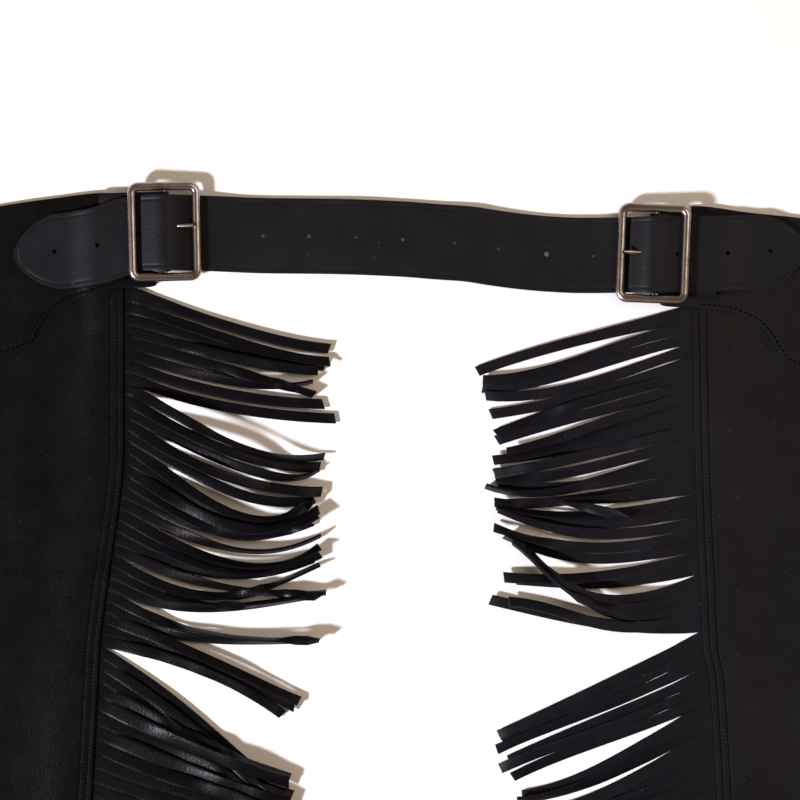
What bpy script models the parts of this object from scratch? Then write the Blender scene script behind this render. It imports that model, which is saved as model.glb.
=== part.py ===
"""Fringed leather chaps, laid open and flat with the grain side up.

Two leg panels lie side by side, joined at the back of the waist by one strap through two
centre-bar buckles. Each leg has a scalloped yoke on its upper edge and a strip of cut fringe
sewn under its outer seam edge, pointing to the middle. X runs across the pair, Y runs from
hem to waist, Z is up from the surface they lie on, and the origin is the middle of the
bounding box on that surface.

The tables below are in millimetres. "out" is the distance from the pair's centre line,
whichever leg it is, and "up" is the height above the middle of the strap.
"""
import math

import bpy
import bmesh
from mathutils import Matrix, Vector

MM = 0.001

# Leathers and clearances
LEG_T = 1.4
STRIP_T = 1.3
STRAP_T = 2.2
CHAPE_T = 1.0
GAP = 0.3

# Overall lay
LEFT, RIGHT = -1, 1
SIDE_NAME = {LEFT: "left", RIGHT: "right"}
HEM_UP = -960.0
TOP_UP = 33.6
BELT_UP = (TOP_UP - HEM_UP) / 2 - TOP_UP

# Seam edge of each leg, where the fringe comes out: up, out on the left, out on the right
SEAM_EDGE = (
    (27.0, 162.6, 171.0),
    (-124.0, 162.6, 173.5),
    (-143.0, 163.8, 174.1),
    (-173.0, 167.6, 175.2),
    (-203.0, 172.0, 176.8),
    (-239.5, 176.5, 178.4),
    (-258.0, 177.6, 182.0),
    (-400.0, 184.0, 189.0),
    (-600.0, 188.0, 193.0),
    (HEM_UP, 184.0, 189.0),
)

# Upper edge of leg and yoke: out, up on the left, up on the right
WAIST_EDGE = (
    (140.0, 27.0, 19.6),
    (172.0, 27.0, 19.4),
    (205.0, 23.5, 15.2),
    (235.0, 19.1, 11.8),
    (300.0, 5.0, 0.0),
    (380.0, -16.0, -20.0),
    (452.0, -40.0, -43.0),
)

# Lower edge of the yoke, an ogee scallop: out, up
YOKE_EDGE = {
    LEFT: ((160.0, -28.6), (169.0, -28.8), (180.0, -31.7), (190.0, -34.6), (199.0, -39.3),
           (206.3, -44.6), (213.1, -53.4), (217.0, -61.6), (224.0, -65.6), (234.8, -68.1),
           (300.0, -78.0), (380.0, -96.0), (452.0, -118.0)),
    RIGHT: ((170.0, -40.2), (180.0, -40.8), (196.4, -43.7), (209.8, -49.6), (216.0, -56.4),
            (221.6, -65.2), (227.1, -71.9), (234.8, -75.7), (300.0, -84.0), (380.0, -100.0),
            (452.0, -121.0)),
}

# End of the yoke that runs on under the buckle: out, top, bottom
YOKE_TAB = {
    LEFT: ((141.5, 21.0, -24.5), (143.5, 25.0, -27.6), (148.0, 26.0, -28.4), (166.5, 26.0, -28.7)),
    RIGHT: ((151.0, 12.5, -35.5), (153.0, 16.0, -38.8), (158.0, 16.8, -39.8), (176.5, 16.8, -40.5)),
}

# Outer outline of a leg from the waist's front corner to the hem: row at the seam, out, up
LEG_FRONT = (
    (27.0, 452.0, -41.0),
    (-10.0, 458.0, -80.0),
    (-40.0, 464.0, -119.0),
    (-70.0, 480.0, -152.0),
    (-110.0, 520.0, -186.0),
    (-160.0, 585.0, -212.0),
    (-220.0, 660.0, -236.0),
    (-275.0, 712.0, -262.0),
    (-320.0, 720.0, -300.0),
    (-450.0, 692.0, -440.0),
    (-600.0, 654.0, -600.0),
    (-780.0, 634.0, -785.0),
    (HEM_UP, 628.0, HEM_UP),
)
YOKE_FRONT = 450.0
FRONT_LACE_HOLES = 4
FRONT_LACE_FIRST = 10.0
FRONT_LACE_PITCH = 17.0
FRONT_LACE_SLANT = 0.07
LACE_HOLE_R = 2.5
LACE_HOLE_INSET = 11.0

# Fringe: a slit every pitch, strands fused to a strip under the leg's edge
SEEN_STRANDS = 34
STRANDS = 106
SEEN_PITCH = 6.75
HIDDEN_PITCH = 8.5
SLIT = 1.3
STRIP_TOP = {LEFT: -30.5, RIGHT: -42.0}
STRIP_UNDER_LEG = 12.0
STRIP_PAST_EDGE = 2.6
STRAND_CLEAR = 0.4
STRAND_LENGTH = 124.0
STRAND_LEAVES = math.radians(20)

# How the strands that bunch together end: strands, out of the first and last tip,
# up of the first and last tip, height of the bunch's arch
BUNCHES = {
    LEFT: ((4, 41.1, 47.5, -63.4, -77.5, 5.0), (4, 49.3, 38.2, -92.2, -106.8, 4.0),
           (7, 44.6, 46.4, -126.2, -151.4, 6.0), (7, 48.7, 47.0, -157.3, -190.8, 4.0),
           (4, 45.8, 49.9, -198.4, -214.3, 6.5), (2, 48.1, 47.0, -230.5, -236.0, 4.0),
           (6, 61.6, 59.9, -270.6, -303.0, 5.5)),
    RIGHT: ((5, 45.2, 48.1, -75.1, -93.9, 5.0), (4, 52.2, 55.8, -101.6, -118.0, 4.0),
            (5, 57.0, 51.0, -124.5, -146.0, 6.0), (6, 53.4, 64.6, -153.2, -179.6, 4.0),
            (8, 62.0, 55.0, -187.5, -215.0, 6.5), (6, 58.9, 60.0, -283.0, -313.0, 5.0)),
}
# The same below the closely seen stretch, over and over: strands, drop, spread, arch
HIDDEN_BUNCHES = ((4, 46.0, 0.72, 5.0), (6, 40.0, 0.80, 4.0), (3, 48.0, 0.68, 6.0), (5, 42.0, 0.76, 4.5))
SEEN_STEPS = (0.08, 0.27, 0.5, 0.75, 1.0)
HIDDEN_STEPS = (0.12, 0.5, 1.0)

# Buckles: middle of the frame, turn in the plan, tilt towards the strap's free span
BUCKLE_AT = {LEFT: (-137.9, 4.1), RIGHT: (148.4, -8.7)}
BUCKLE_TURN = {LEFT: math.radians(1.3), RIGHT: math.radians(-2.3)}
BUCKLE_WIDTH = 43.1
BUCKLE_HEIGHT = 58.4
FRAME_R = 2.6
CORNER_R = 4.2
CENTRE_BAR_R = 1.8
CENTRE_BAR_DROP = 1.6
PRONG_R = 1.2
PRONG_HOOK_R = 0.5
PRONG_UP = {LEFT: 7.3, RIGHT: -8.4}
CHAPE_WIDTH = 40.0
CHAPE_LENGTH = 38.0
PRONG_SLOT = 5.0

# Heights of the stack at the buckles
YOKE_TOP = LEG_T + GAP + LEG_T
CHAPE_UNDER_Z = YOKE_TOP + GAP + CHAPE_T / 2
CHAPE_OVER_Z = CHAPE_UNDER_Z + CHAPE_T + GAP
STRAP_ON_YOKE = YOKE_TOP + GAP
STRAP_ON_CHAPE = CHAPE_OVER_Z + CHAPE_T / 2 + GAP
STRAP_INNER_BAR = 2.0
SEAT = STRAP_T + GAP + 0.1 + FRAME_R
OUTER_BAR_Z = STRAP_ON_CHAPE + SEAT
INNER_BAR_Z = STRAP_INNER_BAR + SEAT
HALF_SPAN = BUCKLE_WIDTH / 2 - FRAME_R
CENTRE_BAR_Z = (OUTER_BAR_Z + INNER_BAR_Z) / 2 - CENTRE_BAR_DROP
LOOP_R = CENTRE_BAR_R + GAP + CHAPE_T / 2
STRAP_ON_BAR = CENTRE_BAR_Z + LOOP_R + CHAPE_T / 2 + GAP + 0.05

# Strap: centre line as across and up, widths and holes
STRAP_LINE = (
    (-226.6, -10.0), (-202.5, -7.6), (-177.3, -3.9), (-159.7, 2.0), (-152.0, 3.4),
    (-138.0, 3.7), (-116.4, 3.3), (-78.7, 1.9), (-41.1, 1.5), (0.0, 0.0), (23.5, -1.8),
    (39.3, -2.9), (55.2, -5.3), (70.4, -7.3), (86.3, -8.8), (107.4, -9.7), (126.2, -9.6),
    (148.5, -9.2), (172.0, -9.0), (192.0, -8.5), (211.3, -7.6), (238.3, -5.0),
)
STRAP_HALF_WIDTH = 22.1
STRAP_TIP_LENGTH = 27.0
STRAP_TIP_POWER = 1.6
STRAP_HOLE_R = 1.5
STRAP_HOLES = (-202.5, -177.3, -152.9, -79.8, -53.1, -24.9, 2.1, 32.6, 58.1, 86.3, 113.9,
               162.4, 192.0, 217.2)


def ease(t):
    """Smooth step from 0 to 1 with flat ends."""
    t = min(1.0, max(0.0, t))
    return (1 - math.cos(math.pi * t)) / 2


def read_smooth(rows, at, column=1):
    """Cubic reading of a table sorted by its first column, through every row."""
    pairs = [(row[0], row[column]) for row in rows]
    if pairs[0][0] > pairs[-1][0]:
        pairs.reverse()
    last = len(pairs) - 1
    at = min(pairs[-1][0], max(pairs[0][0], at))
    k = next(i for i in range(last) if at <= pairs[i + 1][0])

    def slope(i):
        if i == 0 or i == last:
            j = min(i, last - 1)
            return (pairs[j + 1][1] - pairs[j][1]) / (pairs[j + 1][0] - pairs[j][0])
        before = (pairs[i][1] - pairs[i - 1][1]) / (pairs[i][0] - pairs[i - 1][0])
        after = (pairs[i + 1][1] - pairs[i][1]) / (pairs[i + 1][0] - pairs[i][0])
        if before * after <= 0:
            return 0.0
        return 2 * before * after / (before + after)

    span = pairs[k + 1][0] - pairs[k][0]
    t = (at - pairs[k][0]) / span
    return ((1 + 2 * t) * (1 - t) ** 2 * pairs[k][1] + t * (1 - t) ** 2 * span * slope(k)
            + t * t * (3 - 2 * t) * pairs[k + 1][1] + t * t * (t - 1) * span * slope(k + 1))


def read_eased(rows, at):
    """Reading with flat ends at every row, for a strap that settles on what it crosses."""
    if at <= rows[0][0]:
        return rows[0][1]
    for (a, low), (b, high) in zip(rows, rows[1:]):
        if at <= b:
            return low + (high - low) * ease((at - a) / (b - a))
    return rows[-1][1]


def place(across, up, z):
    """A point in metres from across and up in millimetres."""
    return Vector((across, up + BELT_UP, z)) * MM


def side_column(side):
    return 1 if side == LEFT else 2


def seam_out(side, up):
    return read_smooth(SEAM_EDGE, up, side_column(side))


def waist_up(side, out):
    return read_smooth(WAIST_EDGE, out, side_column(side))


def lift(side, out, up):
    """How far a leg's edge rises where it lies over the fringe strip."""
    from_edge = out - seam_out(side, up)
    across = 1 - ease((from_edge - STRIP_UNDER_LEG - 1.0) / 10.0)
    along = ease((STRIP_TOP[side] + 8.0 - up) / 7.0)
    return (STRIP_T + GAP) * across * along


def make_material(name, colour, roughness, metallic):
    material = bpy.data.materials.new(name)
    material.use_nodes = True
    shader = material.node_tree.nodes["Principled BSDF"]
    shader.inputs["Base Color"].default_value = (*colour, 1.0)
    shader.inputs["Roughness"].default_value = roughness
    shader.inputs["Metallic"].default_value = metallic
    return material


def add_object(name, mesh, material, collection):
    piece = bpy.data.objects.new(name, mesh)
    mesh.materials.append(material)
    collection.objects.link(piece)
    return piece


def grid_mesh(name, rows):
    """An open sheet through rows of points, each row as long as the next."""
    bm = bmesh.new()
    verts = [[bm.verts.new(point) for point in row] for row in rows]
    for one, two in zip(verts, verts[1:]):
        for a, b, c, d in zip(one, one[1:], two[1:], two):
            bm.faces.new((a, b, c, d))
    mesh = bpy.data.meshes.new(name)
    bm.to_mesh(mesh)
    bm.free()
    return mesh


def face_up(mesh):
    """Turn a flat-lying sheet so that its faces look up."""
    bm = bmesh.new()
    bm.from_mesh(mesh)
    if sum(face.normal.z * face.calc_area() for face in bm.faces) < 0:
        bmesh.ops.reverse_faces(bm, faces=bm.faces)
    bm.to_mesh(mesh)
    bm.free()


def thicken(piece, thickness, offset):
    wall = piece.modifiers.new("Leather", "SOLIDIFY")
    wall.thickness = thickness * MM
    wall.offset = offset


def cut(piece, cutter):
    boolean = piece.modifiers.new("Cut " + cutter.name, "BOOLEAN")
    boolean.operation = "DIFFERENCE"
    boolean.solver = "EXACT"
    boolean.object = cutter


def make_cutter(name, mesh, collection):
    cutter = bpy.data.objects.new(name, mesh)
    cutter.hide_render = True
    cutter.display_type = "WIRE"
    collection.objects.link(cutter)
    return cutter


def punch_cutter(name, centres, radius, depth, collection):
    """One cutter of upright pegs for a row of punched holes."""
    bm = bmesh.new()
    for centre in centres:
        bmesh.ops.create_cone(bm, cap_ends=True, segments=10, radius1=radius * MM,
                              radius2=radius * MM, depth=depth * MM,
                              matrix=Matrix.Translation(centre))
    mesh = bpy.data.meshes.new(name)
    bm.to_mesh(mesh)
    bm.free()
    return make_cutter(name, mesh, collection)


def tube_mesh(name, splines, radius):
    """Closed mesh of a wire: splines are (points, radii, cyclic)."""
    curve = bpy.data.curves.new(name, "CURVE")
    curve.dimensions = "3D"
    curve.bevel_depth = radius * MM
    curve.bevel_resolution = 2
    curve.use_fill_caps = True
    for points, radii, cyclic in splines:
        spline = curve.splines.new("POLY")
        spline.points.add(len(points) - 1)
        for target, point, scale in zip(spline.points, points, radii):
            target.co = (*point, 1.0)
            target.radius = scale
        spline.use_cyclic_u = cyclic
    source = bpy.data.objects.new(name, curve)
    bpy.context.scene.collection.objects.link(source)
    bpy.context.view_layer.update()
    depsgraph = bpy.context.evaluated_depsgraph_get()
    mesh = bpy.data.meshes.new_from_object(source.evaluated_get(depsgraph))
    bpy.data.objects.remove(source)
    bm = bmesh.new()
    bm.from_mesh(mesh)
    bmesh.ops.remove_doubles(bm, verts=bm.verts, dist=0.00001)
    bmesh.ops.recalc_face_normals(bm, faces=bm.faces)
    bm.to_mesh(mesh)
    bm.free()
    mesh.shade_smooth()
    return mesh


def leg_point(side, row_up, share):
    """A point of a leg on the row that starts at row_up on the seam edge."""
    start_out = seam_out(side, row_up)
    start_up = min(row_up, waist_up(side, start_out))
    end_out = read_smooth(LEG_FRONT, row_up, 1)
    end_up = read_smooth(LEG_FRONT, row_up, 2)
    out = start_out + (end_out - start_out) * share
    up = start_up + (end_up - start_up) * share
    if row_up >= SEAM_EDGE[0][0] - 60.0:
        curve_up = waist_up(side, out)
        top_line = waist_up(side, start_out)
        top_line += (waist_up(side, end_out) - top_line) * share
        fade = ease((row_up - SEAM_EDGE[0][0] + 60.0) / 60.0)
        up += (curve_up - top_line) * fade
    return place(side * out, up, lift(side, out, up))


def make_leg(side, leather, parts, cutters):
    """Leg panel from waist to hem, raised at its edge where the fringe strip lies under it."""
    near_edge = (0.0, 13.0, 18.0, 23.0)
    tops = [row for row in (27.0, 18.0, 9.0, 0.0, -9.0, -18.0, -27.0) if row > STRIP_TOP[side] + 11.0]
    ramp = [STRIP_TOP[side] + 10.0 - 2.5 * k for k in range(5)]
    below = [STRIP_TOP[side] - 14.0 - 18.0 * k for k in range(13)]
    lower = [-285.0, -302.0, -320.0, -345.0, -390.0, -450.0, -525.0, -600.0, -690.0, -780.0, -870.0, HEM_UP]
    stations = tops + ramp + below + lower
    rows = []
    for row_up in stations:
        width = read_smooth(LEG_FRONT, row_up, 1) - seam_out(side, row_up)
        shares = [distance / width for distance in near_edge]
        shares += [shares[-1] + (1 - shares[-1]) * step / 5 for step in range(1, 6)]
        rows.append([leg_point(side, row_up, share) for share in shares])
    mesh = grid_mesh("leg_" + SIDE_NAME[side], rows)
    face_up(mesh)
    leg = add_object("leg_" + SIDE_NAME[side], mesh, leather, parts)
    thicken(leg, LEG_T, 1.0)
    cut(leg, lace_cutter(side, "leg", cutters))
    return leg


def lace_cutter(side, owner, cutters):
    """Punches for the front lace, down the front edge of yoke and leg alike."""
    front_out = LEG_FRONT[0][1]
    top = waist_up(side, front_out)
    centres = []
    for k in range(FRONT_LACE_HOLES):
        drop = FRONT_LACE_FIRST + k * FRONT_LACE_PITCH
        out = front_out + drop * FRONT_LACE_SLANT - LACE_HOLE_INSET
        centres.append(place(side * out, top - drop, 0.0))
    return punch_cutter("%s_lace_%s" % (owner, SIDE_NAME[side]), centres, LACE_HOLE_R, 20.0, cutters)


def yoke_columns(side):
    """Columns of the yoke from the tab's end to the front edge: out, top, bottom."""
    columns = list(YOKE_TAB[side])
    step_out = columns[-1][0] + 1.0
    outs = [step_out, step_out + 5.0]
    outs += [step_out + 5.0 + 4.2 * k for k in range(1, 15)]
    outs += [outs[-1] + (YOKE_FRONT - outs[-1]) * k / 8 for k in range(1, 9)]
    for out in outs:
        columns.append((out, waist_up(side, out), read_smooth(YOKE_EDGE[side], out)))
    return columns


def make_yoke(side, leather, parts, cutters):
    """Yoke on top of the leg, run on past the leg's edge as the tab that carries the buckle."""
    rows = []
    for out, top, bottom in yoke_columns(side):
        row = []
        for share in (0.0, 0.2, 0.4, 0.6, 0.81, 0.9, 1.0):
            up = top + (bottom - top) * share
            row.append(place(side * out, up, LEG_T + GAP + lift(side, out - 3.0, up - 3.0)))
        rows.append(row)
    mesh = grid_mesh("yoke_" + SIDE_NAME[side], rows)
    face_up(mesh)
    yoke = add_object("yoke_" + SIDE_NAME[side], mesh, leather, parts)
    thicken(yoke, LEG_T, 1.0)
    cut(yoke, lace_cutter(side, "yoke", cutters))
    return yoke


def strand_bunches(side):
    """The bunch of every strand: out and up of its tip, arch, and whether it is closely seen."""
    tips = []
    for count, out_a, out_b, up_a, up_b, arch in BUNCHES[side]:
        for k in range(count):
            share = k / (count - 1)
            tips.append((out_a + (out_b - out_a) * share, up_a + (up_b - up_a) * share, arch, True))
    cycle = 0
    while len(tips) < STRANDS:
        count, drop, spread, arch = HIDDEN_BUNCHES[cycle % len(HIDDEN_BUNCHES)]
        first = len(tips)
        middle = first + (count - 1) / 2
        for k in range(count):
            root_up = root_of(side, middle)[1] - (first + k - middle) * HIDDEN_PITCH * spread
            tip_up = root_up - drop
            reach = math.sqrt(STRAND_LENGTH ** 2 - drop ** 2)
            tips.append((root_of(side, first + k)[0] - reach, tip_up, arch, False))
        cycle += 1
    tips = tips[:STRANDS]
    arches = []
    for number in range(STRANDS):
        near = [tip[2] for tip in tips[max(0, number - 2):number + 3]]
        arches.append(sum(near) / len(near))
    return [(out, up, arch, seen) for (out, up, _, seen), arch in zip(tips, arches)]


def root_of(side, number):
    """Where the middle of a strand leaves the strip: out, up."""
    seen = min(number + 0.5, SEEN_STRANDS)
    up = STRIP_TOP[side] - seen * SEEN_PITCH - (number + 0.5 - seen) * HIDDEN_PITCH
    return seam_out(side, up) - STRIP_PAST_EDGE, up


def strand_half(number):
    """Half the width of a strand, which is the pitch less the slit."""
    return ((SEEN_PITCH if number < SEEN_STRANDS else HIDDEN_PITCH) - SLIT) / 2


def strand_line(side, number, tip, t):
    """Middle of a strand in the plan, leaving at a slope and levelling towards its tip."""
    root = Vector(root_of(side, number))
    end = Vector((tip[0], tip[1]))
    reach = (end - root).length * 0.5
    bend = root + Vector((-math.cos(STRAND_LEAVES), -math.sin(STRAND_LEAVES))) * reach
    return root * (1 - t) ** 2 + bend * 2 * t * (1 - t) + end * t * t


def strand_spacing(side, number, tips, t):
    """Distance to the nearer of the two neighbours at the same share of the length."""
    here = strand_line(side, number, tips[number], t)
    near = []
    for other in (number - 1, number + 1):
        if 0 <= other < STRANDS:
            there = strand_line(side, other, tips[other], t)
            ahead = strand_line(side, number, tips[number], min(1.0, t + 0.02))
            back = strand_line(side, number, tips[number], t - 0.02)
            along = (ahead - back).normalized()
            apart = there - here
            near.append(abs(apart.x * along.y - apart.y * along.x))
    return min(near)


def strand_section(side, number, tips, t):
    """The two edge points of a strand at t, turned like a slat where strands bunch."""
    tip = tips[number]
    here = strand_line(side, number, tip, t)
    along = (strand_line(side, number, tip, min(1.0, t + 0.02))
             - strand_line(side, number, tip, t - 0.02)).normalized()
    spacing = max(2.2, strand_spacing(side, number, tips, t))
    roll = math.asin(min(0.9, (STRIP_T + 0.6) / spacing)) * ease(t / 0.4)
    half = strand_half(number)
    square = Vector((along.y, -along.x))
    if square.y < 0:
        square = -square
    lowest = STRAND_CLEAR + STRIP_T / 2 * math.cos(roll) + half * math.sin(roll)
    off_strip = ease(t / 0.1)
    height = STRIP_T / 2 * (1 - off_strip) + lowest * off_strip
    height += tip[2] * math.sin(math.pi * t ** 0.8) ** 2
    step = square * half * math.cos(roll)
    raised = half * math.sin(roll)
    return ((here + step, height + raised), (here - step, height - raised))


def make_fringe(side, leather, parts):
    """A strip under the leg's seam edge with its strands, one sheet given its thickness."""
    tips = strand_bunches(side)
    bm = bmesh.new()

    def vert(out, up, z):
        return bm.verts.new(place(side * out, up, z))

    def strip_vert(up, past_edge):
        return vert(seam_out(side, up) - past_edge, up, STRIP_T / 2)

    roots = []
    for number in range(STRANDS):
        up = root_of(side, number)[1]
        half = strand_half(number)
        roots.append((strip_vert(up + half, STRIP_PAST_EDGE), strip_vert(up - half, STRIP_PAST_EDGE),
                      strip_vert(up + half, -STRIP_UNDER_LEG)))
    last_up = root_of(side, STRANDS - 1)[1] - strand_half(STRANDS - 1)
    last_back = strip_vert(last_up, -STRIP_UNDER_LEG)
    for this, after in zip(roots, roots[1:]):
        bm.faces.new((this[0], this[1], after[0], after[2], this[2]))
    bm.faces.new((roots[-1][0], roots[-1][1], last_back, roots[-1][2]))
    for number, root in enumerate(roots):
        edge = root[:2]
        for t in SEEN_STEPS if tips[number][3] else HIDDEN_STEPS:
            section = strand_section(side, number, tips, t)
            following = tuple(vert(point.x, point.y, z) for point, z in section)
            bm.faces.new((edge[0], edge[1], following[1], following[0]))
            edge = following
    bmesh.ops.recalc_face_normals(bm, faces=bm.faces)
    mesh = bpy.data.meshes.new("fringe_" + SIDE_NAME[side])
    bm.to_mesh(mesh)
    bm.free()
    face_up(mesh)
    fringe = add_object("fringe_" + SIDE_NAME[side], mesh, leather, parts)
    thicken(fringe, STRIP_T, 0.0)
    return fringe


def strap_height_rows():
    """Underside of the strap along X: tails on the yokes, humps over the centre bars."""
    left, right = BUCKLE_AT[LEFT][0], BUCKLE_AT[RIGHT][0]
    return (
        (left - CHAPE_LENGTH - 20.0, STRAP_ON_YOKE),
        (left - CHAPE_LENGTH - 2.0, STRAP_ON_CHAPE),
        (left - HALF_SPAN, STRAP_ON_CHAPE),
        (left, STRAP_ON_BAR),
        (left + HALF_SPAN, STRAP_INNER_BAR),
        (left + HALF_SPAN + 26.0, 0.0),
        (right - HALF_SPAN - 26.0, 0.0),
        (right - HALF_SPAN, STRAP_INNER_BAR),
        (right, STRAP_ON_BAR),
        (right + HALF_SPAN, STRAP_ON_CHAPE),
        (right + CHAPE_LENGTH + 2.0, STRAP_ON_CHAPE),
        (right + CHAPE_LENGTH + 20.0, STRAP_ON_YOKE),
    )


def strap_point(across, share):
    """A point on the strap's underside: share runs from -1 at its lower edge to 1."""
    step = 0.5
    slope = (read_smooth(STRAP_LINE, across + step) - read_smooth(STRAP_LINE, across - step)) / (2 * step)
    square = Vector((-slope, 1.0)).normalized()
    from_tip = min(across - STRAP_LINE[0][0], STRAP_LINE[-1][0] - across)
    half = STRAP_HALF_WIDTH
    if from_tip < STRAP_TIP_LENGTH:
        inward = (STRAP_TIP_LENGTH - from_tip) / STRAP_TIP_LENGTH
        half *= max(0.0, 1 - inward ** STRAP_TIP_POWER) ** (1 / STRAP_TIP_POWER)
    centre = Vector((across, read_smooth(STRAP_LINE, across)))
    point = centre + square * half * share
    side = LEFT if across < 0 else RIGHT
    buckle = Vector(BUCKLE_AT[side])
    turned = (point - buckle).dot(Vector((math.cos(BUCKLE_TURN[side]), math.sin(BUCKLE_TURN[side]))))
    return place(point.x, point.y, read_eased(strap_height_rows(), buckle.x + turned))


def strap_stations():
    start, end = STRAP_LINE[0][0], STRAP_LINE[-1][0]
    tips = (0.15, 1.2, 3.5, 7.0, 12.0, 18.0)
    inner_start = start + 24.0
    inner_end = end - 24.0
    stations = [start + step for step in tips]
    at = inner_start
    while at < inner_end:
        stations.append(at)
        near_buckle = min(abs(at - BUCKLE_AT[LEFT][0]), abs(at - BUCKLE_AT[RIGHT][0])) < 24.0
        at += 2.4 if near_buckle else 9.0
    stations += [end - step for step in reversed(tips)]
    return stations


def make_strap(leather, parts, cutters):
    """Waist strap with its punched holes, cut clear of both prongs."""
    rows = [[strap_point(across, share) for share in (-1.0, 0.0, 1.0)] for across in strap_stations()]
    mesh = grid_mesh("waist_strap", rows)
    face_up(mesh)
    strap = add_object("waist_strap", mesh, leather, parts)
    thicken(strap, STRAP_T, 1.0)
    centres = [place(across, read_smooth(STRAP_LINE, across), 0.0) for across in STRAP_HOLES]
    cut(strap, punch_cutter("strap_holes", centres, STRAP_HOLE_R, 40.0, cutters))
    for side in (LEFT, RIGHT):
        name = "prong_room_" + SIDE_NAME[side]
        cut(strap, make_cutter(name, prong_mesh(name, side, True, GAP + 0.1), cutters))
    return strap


def buckle_matrix(side, tilted):
    """Place of a buckle's own frame, with its X towards the strap's free span."""
    across, up = BUCKLE_AT[side]
    height = (OUTER_BAR_Z + INNER_BAR_Z) / 2
    turn = Matrix.Rotation(BUCKLE_TURN[side] + (math.pi if side == RIGHT else 0.0), 4, "Z")
    lean = Matrix.Rotation(math.asin((OUTER_BAR_Z - INNER_BAR_Z) / (2 * HALF_SPAN)), 4, "Y")
    return Matrix.Translation(place(across, up, height if tilted else 0.0)) @ turn @ (lean if tilted else Matrix())


def make_buckle(side, metal, parts):
    """Rounded wire frame with its centre bar, joined as one casting."""
    half_x = HALF_SPAN - CORNER_R
    half_y = BUCKLE_HEIGHT / 2 - FRAME_R - CORNER_R
    outline = []
    for corner, (sx, sy) in enumerate(((1, 1), (-1, 1), (-1, -1), (1, -1))):
        for step in range(5):
            angle = math.pi / 2 * (corner + step / 4)
            outline.append(Vector((sx * half_x + CORNER_R * math.cos(angle),
                                   sy * half_y + CORNER_R * math.sin(angle), 0.0)) * MM)
    name = "buckle_" + SIDE_NAME[side]
    frame = add_object(name, tube_mesh(name, [(outline, [1.0] * len(outline), True)], FRAME_R), metal, parts)
    reach = half_y + CORNER_R
    bar_line = [Vector((0.0, y, -CENTRE_BAR_DROP)) * MM for y in (-reach, reach)]
    bar = make_cutter(name + "_bar", tube_mesh(name + "_bar", [(bar_line, [1.0, 1.0], False)], CENTRE_BAR_R),
                      bpy.data.collections["cutters"])
    join = frame.modifiers.new("Centre bar", "BOOLEAN")
    join.operation = "UNION"
    join.solver = "EXACT"
    join.object = bar
    for item in (frame, bar):
        item.matrix_world = buckle_matrix(side, True)
    return frame


def prong_mesh(name, side, shaft_only, extra):
    """Prong hooked under the centre bar, up through the strap and on to the inner bar."""
    hook = LOOP_R - CHAPE_T / 2 + PRONG_HOOK_R
    start = Vector((hook + 1.3, 0.0, CENTRE_BAR_Z + 0.9))
    end = Vector((HALF_SPAN + 0.6, 0.0, INNER_BAR_Z + FRAME_R + GAP + 0.1 + PRONG_R))
    points = [start, start.lerp(end, 0.35), start.lerp(end, 0.7), end]
    radii = [0.85, 1.0, 1.0, 0.8]
    if not shaft_only:
        for step in range(9):
            angle = math.radians(-240 * step / 8)
            points.insert(0, Vector((hook * math.cos(angle), 0.0, CENTRE_BAR_Z + hook * math.sin(angle))))
            radii.insert(0, PRONG_HOOK_R / PRONG_R)
    across, up = BUCKLE_AT[side]
    lateral = (PRONG_UP[side] - up) * (1 if side == LEFT else -1)
    matrix = buckle_matrix(side, False)
    world = [matrix @ (Vector((point.x, lateral, point.z)) * MM) for point in points]
    return tube_mesh(name, [(world, [radius + extra / PRONG_R for radius in radii], False)], PRONG_R)


def make_prong(side, metal, parts):
    name = "prong_" + SIDE_NAME[side]
    return add_object(name, prong_mesh(name, side, False, 0.0), metal, parts)


def make_chape(side, leather, parts, cutters):
    """Short loop of leather on the tab, folded round the centre bar, slotted for the prong."""
    profile = [(-CHAPE_LENGTH, CHAPE_UNDER_Z), (-HALF_SPAN, CHAPE_UNDER_Z), (-8.0, CHAPE_UNDER_Z + 0.1),
               (-3.5, CENTRE_BAR_Z - LOOP_R + 0.1)]
    for step in range(9):
        angle = math.radians(-90 + 180 * step / 8)
        profile.append((LOOP_R * math.cos(angle), CENTRE_BAR_Z + LOOP_R * math.sin(angle)))
    drop = STRAP_ON_BAR - CENTRE_BAR_Z - LOOP_R
    for x in (-2.5, -5.0, -7.5, -10.0, -12.5, -15.0, -HALF_SPAN, -CHAPE_LENGTH):
        rise = STRAP_ON_CHAPE + (STRAP_ON_BAR - STRAP_ON_CHAPE) * ease(1 + x / HALF_SPAN)
        profile.append((x, rise - drop))
    matrix = buckle_matrix(side, False)
    half = CHAPE_WIDTH / 2
    rows = [[matrix @ (Vector((x, y, z)) * MM) for x, z in profile] for y in (-half, half)]
    name = "chape_" + SIDE_NAME[side]
    chape = add_object(name, grid_mesh(name, rows), leather, parts)
    thicken(chape, CHAPE_T, 0.0)
    lateral = (PRONG_UP[side] - BUCKLE_AT[side][1]) * (1 if side == LEFT else -1)
    bm = bmesh.new()
    bmesh.ops.create_cube(bm, size=1.0)
    size = Vector((9.0, PRONG_SLOT, 12.0)) * MM
    centre = Vector((0.5, lateral, CENTRE_BAR_Z)) * MM
    bmesh.ops.transform(bm, matrix=matrix @ Matrix.Translation(centre) @ Matrix.Diagonal((*size, 1.0)),
                        verts=bm.verts)
    mesh = bpy.data.meshes.new(name + "_slot")
    bm.to_mesh(mesh)
    bm.free()
    cut(chape, make_cutter(name + "_slot", mesh, cutters))
    return chape


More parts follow.
